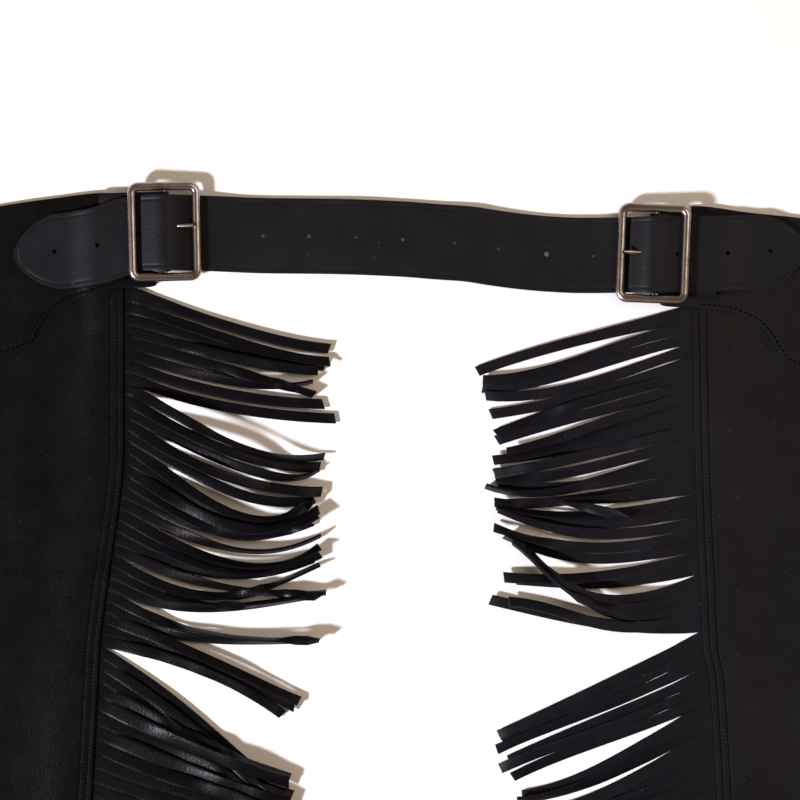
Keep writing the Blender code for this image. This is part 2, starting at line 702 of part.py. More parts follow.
def main():
    for item in list(bpy.data.objects):
        bpy.data.objects.remove(item)
    parts = bpy.data.collections.new("fringed_chaps")
    cutters = bpy.data.collections.new("cutters")
    bpy.context.scene.collection.children.link(parts)
    bpy.context.scene.collection.children.link(cutters)
    for side in (LEFT, RIGHT):
        name = SIDE_NAME[side]
        make_leg(side, make_material("leg leather " + name, (0.008, 0.007, 0.009), 0.55, 0.0), parts, cutters)
        make_yoke(side, make_material("yoke leather " + name, (0.008, 0.007, 0.009), 0.5, 0.0), parts, cutters)
        make_fringe(side, make_material("fringe leather " + name, (0.009, 0.008, 0.012), 0.5, 0.0), parts)
        make_buckle(side, make_material("buckle nickel " + name, (0.42, 0.36, 0.32), 0.18, 1.0), parts)
        make_chape(side, make_material("chape leather " + name, (0.008, 0.007, 0.009), 0.5, 0.0), parts, cutters)
        make_prong(side, make_material("prong nickel " + name, (0.55, 0.5, 0.48), 0.18, 1.0), parts)
    make_strap(make_material("strap leather", (0.007, 0.007, 0.01), 0.45, 0.0), parts, cutters)


main()
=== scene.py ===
"""The looks of the fringed chaps: leather, sewing, cut fringe, nickel buckles, light and camera."""
import math
import random

import bmesh
import bpy
from mathutils import Matrix, Vector


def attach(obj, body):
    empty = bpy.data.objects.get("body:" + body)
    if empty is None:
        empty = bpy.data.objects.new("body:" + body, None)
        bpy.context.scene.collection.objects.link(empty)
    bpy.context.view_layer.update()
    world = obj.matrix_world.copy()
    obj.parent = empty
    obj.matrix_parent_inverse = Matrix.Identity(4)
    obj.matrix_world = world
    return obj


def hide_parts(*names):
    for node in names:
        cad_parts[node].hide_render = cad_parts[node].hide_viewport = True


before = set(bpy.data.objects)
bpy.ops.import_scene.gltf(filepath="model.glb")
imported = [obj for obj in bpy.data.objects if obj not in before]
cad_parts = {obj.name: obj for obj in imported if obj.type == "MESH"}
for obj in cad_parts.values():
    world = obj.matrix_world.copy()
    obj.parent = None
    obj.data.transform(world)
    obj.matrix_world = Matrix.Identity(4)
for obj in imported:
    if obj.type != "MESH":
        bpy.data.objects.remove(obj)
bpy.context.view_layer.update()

MM = 0.001
random.seed(11)

# The chaps' own sizes in millimetres: "out" is the distance from the pair's centre line,
# "up" the height above the middle of the strap
LEFT, RIGHT = -1, 1
SIDE_NAME = {LEFT: "left", RIGHT: "right"}
HEM_UP = -960.0
TOP_UP = 33.6
BELT_UP = (TOP_UP - HEM_UP) / 2 - TOP_UP
LEG_T = 1.4
STRIP_T = 1.3
STRAP_T = 2.2
CHAPE_T = 1.0
GAP = 0.3

# Seam edge of each leg: up, out on the left, out on the right
SEAM_EDGE = (
    (27.0, 162.6, 171.0), (-124.0, 162.6, 173.5), (-143.0, 163.8, 174.1), (-173.0, 167.6, 175.2),
    (-203.0, 172.0, 176.8), (-239.5, 176.5, 178.4), (-258.0, 177.6, 182.0), (-400.0, 184.0, 189.0),
    (-600.0, 188.0, 193.0), (HEM_UP, 184.0, 189.0),
)
# Upper edge of leg and yoke: out, up on the left, up on the right
WAIST_EDGE = (
    (140.0, 27.0, 19.6), (172.0, 27.0, 19.4), (205.0, 23.5, 15.2), (235.0, 19.1, 11.8),
    (300.0, 5.0, 0.0), (380.0, -16.0, -20.0), (452.0, -40.0, -43.0),
)
# Lower edge of the yoke: out, up
YOKE_EDGE = {
    LEFT: ((160.0, -28.6), (169.0, -28.8), (180.0, -31.7), (190.0, -34.6), (199.0, -39.3),
           (206.3, -44.6), (213.1, -53.4), (217.0, -61.6), (224.0, -65.6), (234.8, -68.1),
           (300.0, -78.0), (380.0, -96.0), (452.0, -118.0)),
    RIGHT: ((170.0, -40.2), (180.0, -40.8), (196.4, -43.7), (209.8, -49.6), (216.0, -56.4),
            (221.6, -65.2), (227.1, -71.9), (234.8, -75.7), (300.0, -84.0), (380.0, -100.0),
            (452.0, -121.0)),
}
# End of the yoke that runs on under the buckle: out, top, bottom
YOKE_TAB = {
    LEFT: ((141.5, 21.0, -24.5), (143.5, 25.0, -27.6), (148.0, 26.0, -28.4), (166.5, 26.0, -28.7)),
    RIGHT: ((151.0, 12.5, -35.5), (153.0, 16.0, -38.8), (158.0, 16.8, -39.8), (176.5, 16.8, -40.5)),
}
YOKE_FRONT = 450.0
# Front outline of a leg: row at the seam, out, up
LEG_FRONT = (
    (27.0, 452.0, -41.0), (-10.0, 458.0, -80.0), (-40.0, 464.0, -119.0), (-70.0, 480.0, -152.0),
    (-110.0, 520.0, -186.0), (-160.0, 585.0, -212.0), (-220.0, 660.0, -236.0), (-275.0, 712.0, -262.0),
    (-320.0, 720.0, -300.0), (-450.0, 692.0, -440.0), (-600.0, 654.0, -600.0), (-780.0, 634.0, -785.0),
    (HEM_UP, 628.0, HEM_UP),
)
FRONT_LACE_HOLES = 4
LACE_HOLE_R = 2.5
LACE_HOLE_INSET = 11.0
FRONT_LACE_FIRST = 10.0
FRONT_LACE_PITCH = 17.0
FRONT_LACE_LEAN = 0.07
FRONT_LACE_OUT = 452.0

# Fringe
SEEN_STRANDS = 34
STRANDS = 106
SEEN_PITCH = 6.75
HIDDEN_PITCH = 8.5
SLIT = 0.5
CLOSED_SLIT = 0.12
STEEPEST_TWIST = 1.35
FIRST_STRAND_RISE = 2.5
PILE_LOOSE = 8.0
PILE_GIVES = 12.0
STRIP_TOP = {LEFT: -30.5, RIGHT: -42.0}
STRIP_UNDER_LEG = 12.0
STRIP_PAST_EDGE = 2.6
LIFT_RAMP = (14.0, 30.0)
STRAND_CLEAR = 0.4
STRAND_LENGTH = 124.0
STRAND_STEPS = 22
# Strands in view, from the top of the strip down. Tip out, tip up, degrees below level at the
# root and at the tip, reach of the curve from the root and from the tip, twist in degrees
# half way and at the tip, layer in the pile
SEEN_ROWS = {
    LEFT: (
        (41.3, -64.3, 6.0, 4.0, 18.0, 40.0, 0.0, 0.0, 2),
        (41.2, -72.1, 6.0, 3.0, 19.0, 40.0, 5.0, 25.0, 1),
        (43.9, -74.0, 8.0, 2.0, 24.0, 40.0, 5.0, 15.0, 0),
        (48.0, -77.2, 12.0, 2.0, 34.0, 40.0, 0.0, 5.0, 2),
        (50.3, -91.5, 14.0, 18.0, 38.0, 36.0, 5.0, 50.0, 2),
        (51.1, -83.5, 16.0, -15.0, 48.0, 30.0, 40.0, 78.0, 0),
        (44.8, -96.8, 19.0, 0.0, 42.0, 42.0, 0.0, 0.0, 1),
        (38.0, -105.2, 22.0, 1.0, 44.0, 46.0, 0.0, 0.0, 2),
        (44.3, -127.4, 23.0, -10.0, 30.0, 46.0, 10.0, 58.0, 2),
        (46.8, -133.8, 30.0, -2.0, 46.0, 40.0, 5.0, 5.0, 1),
        (49.0, -135.8, 30.0, -45.0, 62.0, 18.0, 25.0, 80.0, 0),
        (45.9, -148.4, 35.0, 0.0, 46.0, 40.0, 5.0, 10.0, 2),
        (50.3, -152.2, 31.0, -12.0, 48.0, 40.0, 5.0, 30.0, 1),
        (50.0, -153.1, 33.0, -38.0, 58.0, 46.0, 10.0, 58.0, 3),
        (55.8, -158.5, 31.0, -33.0, 54.0, 44.0, 20.0, 50.0, 0),
        (47.5, -158.5, 33.0, -32.0, 58.0, 46.0, 5.0, 30.0, 2),
        (47.9, -162.1, 31.0, -32.0, 58.0, 46.0, 15.0, 50.0, 1),
        (51.9, -166.0, 26.0, -22.0, 52.0, 44.0, 30.0, 50.0, 0),
        (46.4, -173.9, 28.0, -28.0, 54.0, 42.0, 68.0, 76.0, 2),
        (47.2, -180.2, 31.0, -33.0, 52.0, 42.0, 20.0, 50.0, 2),
        (46.9, -184.6, 30.0, -28.0, 50.0, 42.0, 10.0, 30.0, 1),
        (51.1, -187.2, 28.0, -22.0, 50.0, 42.0, 20.0, 30.0, 0),
        (43.2, -207.4, 25.0, -6.0, 50.0, 40.0, 58.0, 66.0, 1),
        (46.9, -190.9, 32.0, -24.0, 68.0, 36.0, 66.0, 74.0, 3),
        (44.3, -207.4, 28.0, -13.0, 56.0, 42.0, 66.0, 72.0, 2),
        (50.3, -208.8, 28.0, -8.0, 50.0, 40.0, 48.0, 60.0, 0),
        (47.2, -235.2, 31.0, 1.0, 50.0, 48.0, 62.0, 72.0, 1),
        (50.3, -235.8, 30.0, 0.0, 48.0, 44.0, 56.0, 68.0, 0),
        (59.0, -271.0, 20.0, 26.0, 42.0, 44.0, 10.0, 20.0, 2),
        (62.0, -275.0, 12.0, 30.0, 42.0, 42.0, 30.0, 40.0, 1),
        (69.0, -279.2, 12.0, 38.0, 42.0, 40.0, 10.0, 10.0, 1),
        (78.0, -318.0, 30.0, 40.0, 40.0, 40.0, 0.0, 0.0, 1),
        (80.0, -324.0, 30.0, 42.0, 40.0, 40.0, 0.0, 10.0, 2),
        (84.0, -331.0, 32.0, 40.0, 40.0, 40.0, 10.0, 20.0, 0),
    ),
    RIGHT: (
        (45.1, -77.3, 12.0, 21.0, 42.0, 30.0, 0.0, 0.0, 2),
        (48.6, -83.0, 9.0, 1.0, 42.0, 42.0, 5.0, 5.0, 2),
        (48.3, -87.0, 10.0, -2.0, 42.0, 40.0, 5.0, 10.0, 1),
        (50.1, -91.6, 13.0, -5.0, 24.0, 50.0, 5.0, 10.0, 1),
        (53.1, -102.9, 20.0, 8.0, 42.0, 38.0, 0.0, 0.0, 2),
        (56.1, -114.0, 16.0, 21.0, 40.0, 38.0, 5.0, 20.0, 2),
        (56.8, -118.3, 16.0, 18.0, 40.0, 38.0, 10.0, 10.0, 1),
        (62.4, -124.6, 14.0, 12.0, 38.0, 36.0, 0.0, 10.0, 2),
        (54.6, -129.8, 13.0, 6.0, 40.0, 38.0, 5.0, 30.0, 1),
        (63.5, -129.0, 12.0, 8.0, 38.0, 36.0, 10.0, 40.0, 0),
        (55.3, -137.7, 11.0, 8.0, 40.0, 38.0, 0.0, 10.0, 2),
        (56.1, -141.5, 12.0, 0.0, 40.0, 38.0, 10.0, 30.0, 1),
        (50.1, -144.9, 12.0, -22.0, 46.0, 38.0, 20.0, 65.0, 3),
        (57.6, -144.5, 12.0, -6.0, 42.0, 38.0, 10.0, 30.0, 0),
        (55.3, -154.5, 11.0, -5.0, 46.0, 38.0, 10.0, 30.0, 2),
        (134.2, -163.0, 8.0, 166.0, 98.0, 72.0, 72.0, 70.0, 3),
        (56.8, -156.5, 12.0, -14.0, 46.0, 38.0, 20.0, 45.0, 1),
        (60.6, -158.7, 10.0, -20.0, 46.0, 38.0, 10.0, 35.0, 0),
        (57.0, -159.0, 12.0, -22.0, 50.0, 38.0, 5.0, 30.0, 2),
        (54.9, -169.2, 12.0, -22.0, 50.0, 40.0, 10.0, 45.0, 2),
        (62.0, -173.7, 12.0, -26.0, 50.0, 38.0, 10.0, 35.0, 1),
        (60.9, -198.4, 14.0, -4.0, 48.0, 40.0, 5.0, 10.0, 1),
        (68.0, -200.0, 13.0, -3.0, 44.0, 38.0, 10.0, 20.0, 0),
        (61.3, -174.0, 24.0, -30.0, 76.0, 26.0, 74.0, 82.0, 3),
        (65.8, -178.2, 22.0, -32.0, 76.0, 26.0, 74.0, 82.0, 3),
        (72.0, -181.0, 20.0, -32.0, 70.0, 28.0, 70.0, 80.0, 2),
        (63.9, -212.3, 18.0, -4.0, 62.0, 42.0, 5.0, 10.0, 2),
        (53.1, -211.3, 5.0, -13.0, 48.0, 42.0, 0.0, 10.0, 1),
        (57.9, -290.8, 28.0, 25.0, 40.0, 40.0, 0.0, 0.0, 2),
        (60.6, -295.7, 28.0, 24.0, 40.0, 40.0, 5.0, 10.0, 1),
        (56.8, -299.5, 29.0, 26.0, 40.0, 40.0, 0.0, 20.0, 1),
        (63.5, -305.5, 29.0, 24.0, 40.0, 40.0, 10.0, 10.0, 0),
        (59.0, -310.7, 30.0, 26.0, 40.0, 40.0, 5.0, 0.0, 2),
        (65.8, -315.2, 30.0, 26.0, 40.0, 40.0, 10.0, 30.0, 1),
    ),
}
# Strands that arch clear of the floor: first, last, height half way
ARCHED = {LEFT: (8, 14, 6.0), RIGHT: (0, 0, 0.0)}
# Bunches out of view, repeating: strands, drop of the tips, spread
HIDDEN_BUNCHES = ((4, 46.0, 0.72), (6, 40.0, 0.80), (3, 48.0, 0.68), (5, 42.0, 0.76))

# Buckles: middle of the frame and its turn
BUCKLE_AT = {LEFT: (-137.9, 4.1), RIGHT: (148.4, -8.7)}
BUCKLE_TURN = {LEFT: math.radians(1.3), RIGHT: math.radians(-2.3)}
BUCKLE_WIDTH = 43.1
BUCKLE_HEIGHT = 58.4
FRAME_R = 2.6
CORNER_R = 4.2
CENTRE_BAR_R = 1.8
CENTRE_BAR_DROP = 1.6
PRONG_R = 1.2
PRONG_HOOK_R = 0.5
# How far the prong stops short of the inner bar's middle
PRONG_SHORT = 1.6
PRONG_UP = {LEFT: 7.3, RIGHT: -8.4}
# Full width here: the solid's is 40, clear of the yoke's rise
CHAPE_WIDTH = 47.0
CHAPE_LENGTH = 38.0
PRONG_SLOT = 5.0

# Heights of the stack at the buckles
YOKE_TOP = LEG_T + GAP + LEG_T
CHAPE_UNDER_Z = YOKE_TOP + GAP + CHAPE_T / 2
CHAPE_OVER_Z = CHAPE_UNDER_Z + CHAPE_T + GAP
STRAP_ON_YOKE = YOKE_TOP + GAP
STRAP_ON_CHAPE = CHAPE_OVER_Z + CHAPE_T / 2 + GAP
STRAP_INNER_BAR = 2.0
SEAT = STRAP_T + GAP + 0.1 + FRAME_R
OUTER_BAR_Z = STRAP_ON_CHAPE + SEAT
INNER_BAR_Z = STRAP_INNER_BAR + SEAT
HALF_SPAN = BUCKLE_WIDTH / 2 - FRAME_R
CENTRE_BAR_Z = (OUTER_BAR_Z + INNER_BAR_Z) / 2 - CENTRE_BAR_DROP
LOOP_R = CENTRE_BAR_R + GAP + CHAPE_T / 2
STRAP_ON_BAR = CENTRE_BAR_Z + LOOP_R + CHAPE_T / 2 + GAP + 0.05

# Strap: centre line as across and up, width and holes
STRAP_LINE = (
    (-226.6, -10.0), (-202.5, -7.6), (-177.3, -3.9), (-159.7, 2.0), (-152.0, 3.4),
    (-138.0, 3.7), (-116.4, 3.3), (-78.7, 1.9), (-41.1, 1.5), (0.0, 0.0), (23.5, -1.8),
    (39.3, -2.9), (55.2, -5.3), (70.4, -7.3), (86.3, -8.8), (107.4, -9.7), (126.2, -9.6),
    (148.5, -9.2), (172.0, -9.0), (192.0, -8.5), (211.3, -7.6), (238.3, -5.0),
)
STRAP_HALF_WIDTH = 22.1
STRAP_TIP_LENGTH = 27.0
STRAP_TIP_POWER = 1.6
STRAP_HOLE_R = 1.25
OPEN_HOLE_R = 1.6
OPEN_HOLE = 86.3
STRAP_REST = 0.25
STRAP_HOLES = (-202.5, -177.3, -152.9, -79.8, -53.1, -24.9, 2.1, 32.6, 58.1, 86.3, 113.9,
               162.4, 192.0, 217.2)
STRAP_CREASE_INSET = 2.7

# Sewing
SEAM_ROWS = (3.3, 7.7)
SEWN_DEPTH = 0.28
SEWN_REACH = 0.8
SEAM_STITCH = 2.2
YOKE_ROW_INSET = 2.3
YOKE_STITCH = 3.2
THREAD_R = 0.42

# The photo's frame: 800 px across, and the height above the strap's middle of its own middle
PHOTO_WIDTH = 469.6
PHOTO_MIDDLE_UP = -94.5
LENS = 240.0
SENSOR = 36.0

# Lights: place in metres from the middle of the photo, size, power, colour
LIGHTS = {
    "key": ((-1.65, -0.95, 1.55), 0.30, 92.0, (0.96, 0.98, 1.08)),
    "fill": ((1.15, 0.6, 1.8), 1.6, 15.0, (1.0, 0.84, 0.68)),
}
ROOM_STRENGTH = 0.42
ROOM_COLOURS = ((0.0, (1.0, 0.80, 0.62)), (0.45, (0.95, 0.70, 0.48)), (0.8, (0.34, 0.24, 0.16)),
                (1.0, (0.20, 0.14, 0.10)))
FLOOR_SIZE = 14.0
FLOOR_DROP = 0.0002

# Columns and rows of the sheets, and how wide their closer rows at the rims are
LEG_GRID = (72, 190)
YOKE_GRID = (190, 28)
STRAP_GRID = (330, 28)
CHAPE_ROWS = 12
RIM = 5.0
YOKE_DENSE_END = 250.0
YOKE_LAG = 3.0
WAIST_BLEND = 60.0
ACROSS_STRAND = (1.0, 0.5, 0.0, -0.5, -1.0)


def ease(t):
    t = min(1.0, max(0.0, t))
    return (1 - math.cos(math.pi * t)) / 2


def read_smooth(rows, at, column=1):
    """Cubic reading of a table sorted by its first column, through every row."""
    pairs = [(row[0], row[column]) for row in rows]
    if pairs[0][0] > pairs[-1][0]:
        pairs.reverse()
    last = len(pairs) - 1
    at = min(pairs[-1][0], max(pairs[0][0], at))
    k = next(i for i in range(last) if at <= pairs[i + 1][0])

    def slope(i):
        if i == 0 or i == last:
            j = min(i, last - 1)
            return (pairs[j + 1][1] - pairs[j][1]) / (pairs[j + 1][0] - pairs[j][0])
        before = (pairs[i][1] - pairs[i - 1][1]) / (pairs[i][0] - pairs[i - 1][0])
        after = (pairs[i + 1][1] - pairs[i][1]) / (pairs[i + 1][0] - pairs[i][0])
        if before * after <= 0:
            return 0.0
        return 2 * before * after / (before + after)

    span = pairs[k + 1][0] - pairs[k][0]
    t = (at - pairs[k][0]) / span
    return ((1 + 2 * t) * (1 - t) ** 2 * pairs[k][1] + t * (1 - t) ** 2 * span * slope(k)
            + t * t * (3 - 2 * t) * pairs[k + 1][1] + t * t * (t - 1) * span * slope(k + 1))


def read_eased(rows, at):
    """Reading with flat ends at every row, for a strap that settles on what it crosses."""
    if at <= rows[0][0]:
        return rows[0][1]
    for (a, low), (b, high) in zip(rows, rows[1:]):
        if at <= b:
            return low + (high - low) * ease((at - a) / (b - a))
    return rows[-1][1]


def place(across, up, z):
    """A point in metres from across and up in millimetres."""
    return Vector((across, up + BELT_UP, z)) * MM


def side_column(side):
    return 1 if side == LEFT else 2


def seam_out(side, up):
    return read_smooth(SEAM_EDGE, up, side_column(side))


def waist_up(side, out):
    return read_smooth(WAIST_EDGE, out, side_column(side))


def lift(side, out, up):
    """How far a leg's edge rises where it lies over the fringe strip."""
    from_edge = out - seam_out(side, up)
    below_yoke = ease((STRIP_TOP[side] - 20.0 - up) / 60.0)
    ramp = LIFT_RAMP[0] + (LIFT_RAMP[1] - LIFT_RAMP[0]) * below_yoke
    across = 1 - ease((from_edge - STRIP_UNDER_LEG - 1.0) / ramp)
    along = ease((STRIP_TOP[side] + 8.0 - up) / 7.0)
    return (STRIP_T + GAP) * across * along


# Soft ridges of the legs: side, out, up, turn in degrees, half length, half width, height
RIDGES = (
    (LEFT, 215.0, -150.0, 70.0, 80.0, 16.0, 0.9),
    (LEFT, 232.0, -235.0, 100.0, 60.0, 14.0, 0.8),
    (LEFT, 330.0, -240.0, 62.0, 150.0, 30.0, 2.6),
    (LEFT, 430.0, -330.0, 75.0, 170.0, 34.0, 3.0),
    (LEFT, 560.0, -380.0, 84.0, 130.0, 28.0, 2.2),
    (LEFT, 300.0, -560.0, 12.0, 90.0, 22.0, 2.2),
    (LEFT, 420.0, -640.0, -8.0, 120.0, 24.0, 2.6),
    (LEFT, 380.0, -820.0, 86.0, 110.0, 30.0, 2.0),
    (LEFT, 540.0, -760.0, 96.0, 140.0, 26.0, 1.8),
    (RIGHT, 214.0, -130.0, 110.0, 60.0, 14.0, 0.8),
    (RIGHT, 226.0, -225.0, 78.0, 70.0, 15.0, 1.0),
    (RIGHT, 345.0, -260.0, 106.0, 140.0, 28.0, 2.4),
    (RIGHT, 450.0, -300.0, 98.0, 150.0, 34.0, 3.0),
    (RIGHT, 590.0, -410.0, 92.0, 120.0, 26.0, 2.0),
    (RIGHT, 320.0, -600.0, -14.0, 110.0, 22.0, 2.3),
    (RIGHT, 450.0, -560.0, 10.0, 90.0, 24.0, 2.4),
    (RIGHT, 330.0, -800.0, 94.0, 130.0, 28.0, 2.2),
    (RIGHT, 520.0, -830.0, 84.0, 100.0, 26.0, 1.7),
)


def ridge_height(side, out, up):
    """Soft ridges where a leg doesn't lie quite flat, dying out at its edges and under the yoke."""
    height = 0.0
    for ridge_side, ridge_out, ridge_up, turn, half_length, half_width, top in RIDGES:
        if ridge_side != side:
            continue
        angle = math.radians(turn)
        x, y = out - ridge_out, up - ridge_up
        along = (x * math.cos(angle) + y * math.sin(angle)) / half_length
        across = (-x * math.sin(angle) + y * math.cos(angle)) / half_width
        if abs(along) < 1 and abs(across) < 2.6:
            height += top * (1 - along * along) ** 2 * math.exp(-across * across)
    from_seam = ease((out - seam_out(side, up) - 24.0) / 40.0)
    from_yoke = ease((read_smooth(YOKE_EDGE[side], out) - 6.0 - up) / 30.0)
    from_hem = ease((up - HEM_UP) / 60.0)
    return height * from_seam * from_yoke * from_hem


# Materials

class Flow:
    """A shader socket that takes part in Python expressions, each adding its Math node."""

    def __init__(self, tree, socket=None):
        self.tree = tree
        self.socket = socket

    def add(self, kind, settings, values, out=0):
        """Any other node: its type, its settings, the values or links of its sockets, its output."""
        node = self.tree.nodes.new("ShaderNode" + kind)
        for name, value in settings.items():
            if name == "stops":
                self.set_stops(node.color_ramp, value)
            else:
                setattr(node, name, value)
        for name, value in values.items():
            self.feed(node.inputs[name], value)
        return Flow(self.tree, node.outputs[out])

    @staticmethod
    def set_stops(ramp, stops):
        while len(ramp.elements) < len(stops):
            ramp.elements.new(0.5)
        for element, (position, colour) in zip(ramp.elements, stops):
            element.position = position
            element.color = colour if len(colour) == 4 else (*colour, 1.0)

    def feed(self, socket, value):
        if isinstance(value, Flow):
            self.tree.links.new(value.socket, socket)
        else:
            socket.default_value = value

    def math(self, operation, first, second, clamp=False):
        return self.add("Math", {"operation": operation, "use_clamp": clamp}, {0: first, 1: second})

    def __add__(self, other):
        return self.math("ADD", self, other)

    def __radd__(self, other):
        return self.math("ADD", other, self)

    def __sub__(self, other):
        return self.math("SUBTRACT", self, other)

    def __mul__(self, other):
        return self.math("MULTIPLY", self, other)

    def clamped(self):
        return self.math("ADD", self, 0.0, clamp=True)

    def blend(self, factor, first, second):
        """Two colours mixed by a factor."""
        return self.add("Mix", {"data_type": "RGBA"}, {0: factor, 6: first, 7: second}, out=2)

    def between(self, low, high):
        """This value stretched so that low gives 0 and high gives 1."""
        return self.add("MapRange", {}, {"Value": self, "From Min": low, "From Max": high})


def new_material(name):
    material = bpy.data.materials.new(name)
    material.use_nodes = True
    flow = Flow(material.node_tree)
    shader = material.node_tree.nodes["Principled BSDF"]
    return material, flow, shader


def leather_material(name, dark, worn, roughness, grain, specular, left_shade_and_gloss=0.0):
    """Black grain leather: pebbles and pores in the bump, worn patches and dust in the colour.

    The left side's leather is painted darker, as painted shade, and made smoother than the right's: the last
    argument is how much.
    """
    material, flow, shader = new_material(name)
    spot = flow.add("TexCoord", {}, {}, "Object")
    pebble = flow.add("TexVoronoi", {"feature": "SMOOTH_F1"},
                      {"Vector": spot, "Scale": 720.0, "Smoothness": 0.4}, "Distance")
    pore = flow.add("TexNoise", {}, {"Vector": spot, "Scale": 1500.0, "Detail": 2.0}, "Fac")
    mottle = flow.add("TexNoise", {}, {"Vector": spot, "Scale": 55.0, "Detail": 5.0, "Roughness": 0.6}, "Fac")
    patch = flow.add("TexNoise", {}, {"Vector": spot, "Scale": 9.0, "Detail": 3.0}, "Fac")
    crease = flow.add("TexNoise", {"noise_type": "RIDGED_MULTIFRACTAL"},
                      {"Vector": spot, "Scale": 38.0, "Detail": 3.0}, "Fac")
    speck = flow.add("TexVoronoi", {}, {"Vector": spot, "Scale": 95.0}, "Distance")
    wear = (patch.between(0.42, 0.72) * 0.6 + mottle.between(0.45, 0.75) * 0.4).clamped()
    dust = speck.between(0.05, 0.02).clamped() * 0.35
    colour = flow.blend(wear, (*dark, 1.0), (*worn, 1.0))
    colour = flow.blend(dust, colour, (0.16, 0.15, 0.15, 1.0))
    # Painted shade: the colour is drawn towards black on the left of the pair, and the same mask lowers the
    # roughness there.
    left_shade_and_gloss_mask = flow.add("SeparateXYZ", {}, {"Vector": spot}, "X").between(0.05, -0.05) * left_shade_and_gloss
    colour = flow.blend(left_shade_and_gloss_mask, colour, (0.0, 0.0, 0.0, 1.0))
    flow.feed(shader.inputs["Base Color"], colour)
    flow.feed(shader.inputs["Roughness"], (roughness - 0.1) + mottle * 0.2 - left_shade_and_gloss_mask * 0.24)
    shader.inputs["Specular IOR Level"].default_value = specular
    height = pebble * grain + pore * (0.25 * grain) + mottle * 0.8 + crease.between(0.6, 1.6) * 0.35
    bump = flow.add("Bump", {}, {"Strength": 0.55, "Distance": 0.0004, "Height": height}, "Normal")
    flow.feed(shader.inputs["Normal"], bump)
    return material


def cut_edge_material(name, dark, light):
    """The fibrous cut side of the leather, a little paler than its grain."""
    material, flow, shader = new_material(name)
    spot = flow.add("TexCoord", {}, {}, "Object")
    fibre = flow.add("TexNoise", {}, {"Vector": spot, "Scale": 900.0, "Detail": 3.0}, "Fac")
    flow.feed(shader.inputs["Base Color"], flow.blend(fibre, (*dark, 1.0), (*light, 1.0)))
    flow.feed(shader.inputs["Roughness"], 0.6 + fibre * 0.3)
    shader.inputs["Specular IOR Level"].default_value = 0.25
    bump = flow.add("Bump", {}, {"Strength": 0.4, "Distance": 0.0003, "Height": fibre}, "Normal")
    flow.feed(shader.inputs["Normal"], bump)
    return material


def thread_material():
    """Waxed black thread, its twist as a fine wave."""
    material, flow, shader = new_material("waxed thread")
    spot = flow.add("TexCoord", {}, {}, "Object")
    twist = flow.add("TexWave", {"bands_direction": "DIAGONAL"}, {"Vector": spot, "Scale": 1800.0}, "Fac")
    flow.feed(shader.inputs["Base Color"],
              flow.blend(twist, (0.0006, 0.0005, 0.0006, 1.0), (0.0016, 0.0014, 0.0016, 1.0)))
    flow.feed(shader.inputs["Roughness"], 0.6 + twist * 0.15)
    shader.inputs["Specular IOR Level"].default_value = 0.02
    return material


def nickel_material():
    """Polished nickel with fine scratches and a breath of tarnish."""
    material, flow, shader = new_material("polished nickel")
    spot = flow.add("TexCoord", {}, {}, "Object")
    cloud = flow.add("TexNoise", {}, {"Vector": spot, "Scale": 130.0, "Detail": 4.0}, "Fac")
    scratch = flow.add("TexNoise", {}, {"Vector": spot, "Scale": 1400.0, "Detail": 2.0}, "Fac")
    tarnish = cloud.between(0.45, 0.75)
    flow.feed(shader.inputs["Base Color"],
              flow.blend(tarnish, (0.40, 0.365, 0.35, 1.0), (0.24, 0.20, 0.175, 1.0)))
    flow.feed(shader.inputs["Roughness"], 0.20 + cloud * 0.12)
    shader.inputs["Metallic"].default_value = 1.0
    bump = flow.add("Bump", {}, {"Strength": 0.03, "Distance": 0.00005, "Height": scratch}, "Normal")
    flow.feed(shader.inputs["Normal"], bump)
    return material


def floor_material():
    """Plain white board, hardly textured."""
    material, flow, shader = new_material("white board")
    spot = flow.add("TexCoord", {}, {}, "Object")
    tooth = flow.add("TexNoise", {}, {"Vector": spot, "Scale": 60.0, "Detail": 3.0}, "Fac")
    flow.feed(shader.inputs["Base Color"],
              flow.blend(tooth, (0.90, 0.89, 0.88, 1.0), (0.93, 0.92, 0.91, 1.0)))
    flow.feed(shader.inputs["Roughness"], 0.7 + tooth * 0.1)
    return material


# Leg, yoke and fringe leather carry painted shade on the left side through their last argument.
LEG_LEATHER = leather_material("leg leather", (0.0052, 0.0044, 0.0048), (0.0095, 0.0084, 0.0088),
                               roughness=0.50, grain=0.5, specular=0.11, left_shade_and_gloss=0.6)
YOKE_LEATHER = leather_material("yoke leather", (0.0052, 0.0044, 0.0048), (0.0100, 0.0088, 0.0092),
                                roughness=0.50, grain=0.5, specular=0.11, left_shade_and_gloss=0.6)
STRAP_LEATHER = leather_material("strap leather", (0.0046, 0.0042, 0.0060), (0.0085, 0.0080, 0.0105),
                                 roughness=0.48, grain=0.25, specular=0.15)
FRINGE_LEATHER = leather_material("fringe leather", (0.0044, 0.0040, 0.0062), (0.0080, 0.0074, 0.0106),
                                  roughness=0.50, grain=0.4, specular=0.11, left_shade_and_gloss=0.6)
CUT_EDGE = cut_edge_material("cut leather edge", (0.012, 0.010, 0.020), (0.030, 0.026, 0.048))
THREAD = thread_material()
NICKEL = nickel_material()
FLOOR = floor_material()


# Modelling

def deselect():
    if bpy.context.object and bpy.context.object.mode != "OBJECT":
        bpy.ops.object.mode_set(mode="OBJECT")
    bpy.ops.object.select_all(action="DESELECT")


def take(piece):
    """Make a piece the one that operators act on."""
    deselect()
    piece.select_set(True)
    bpy.context.view_layer.objects.active = piece


def apply_modifier(piece, kind, **settings):
    modifier = piece.modifiers.new(kind.title(), kind)
    for name, value in settings.items():
        setattr(modifier, name, value)
    take(piece)
    bpy.ops.object.modifier_apply(modifier=modifier.name)


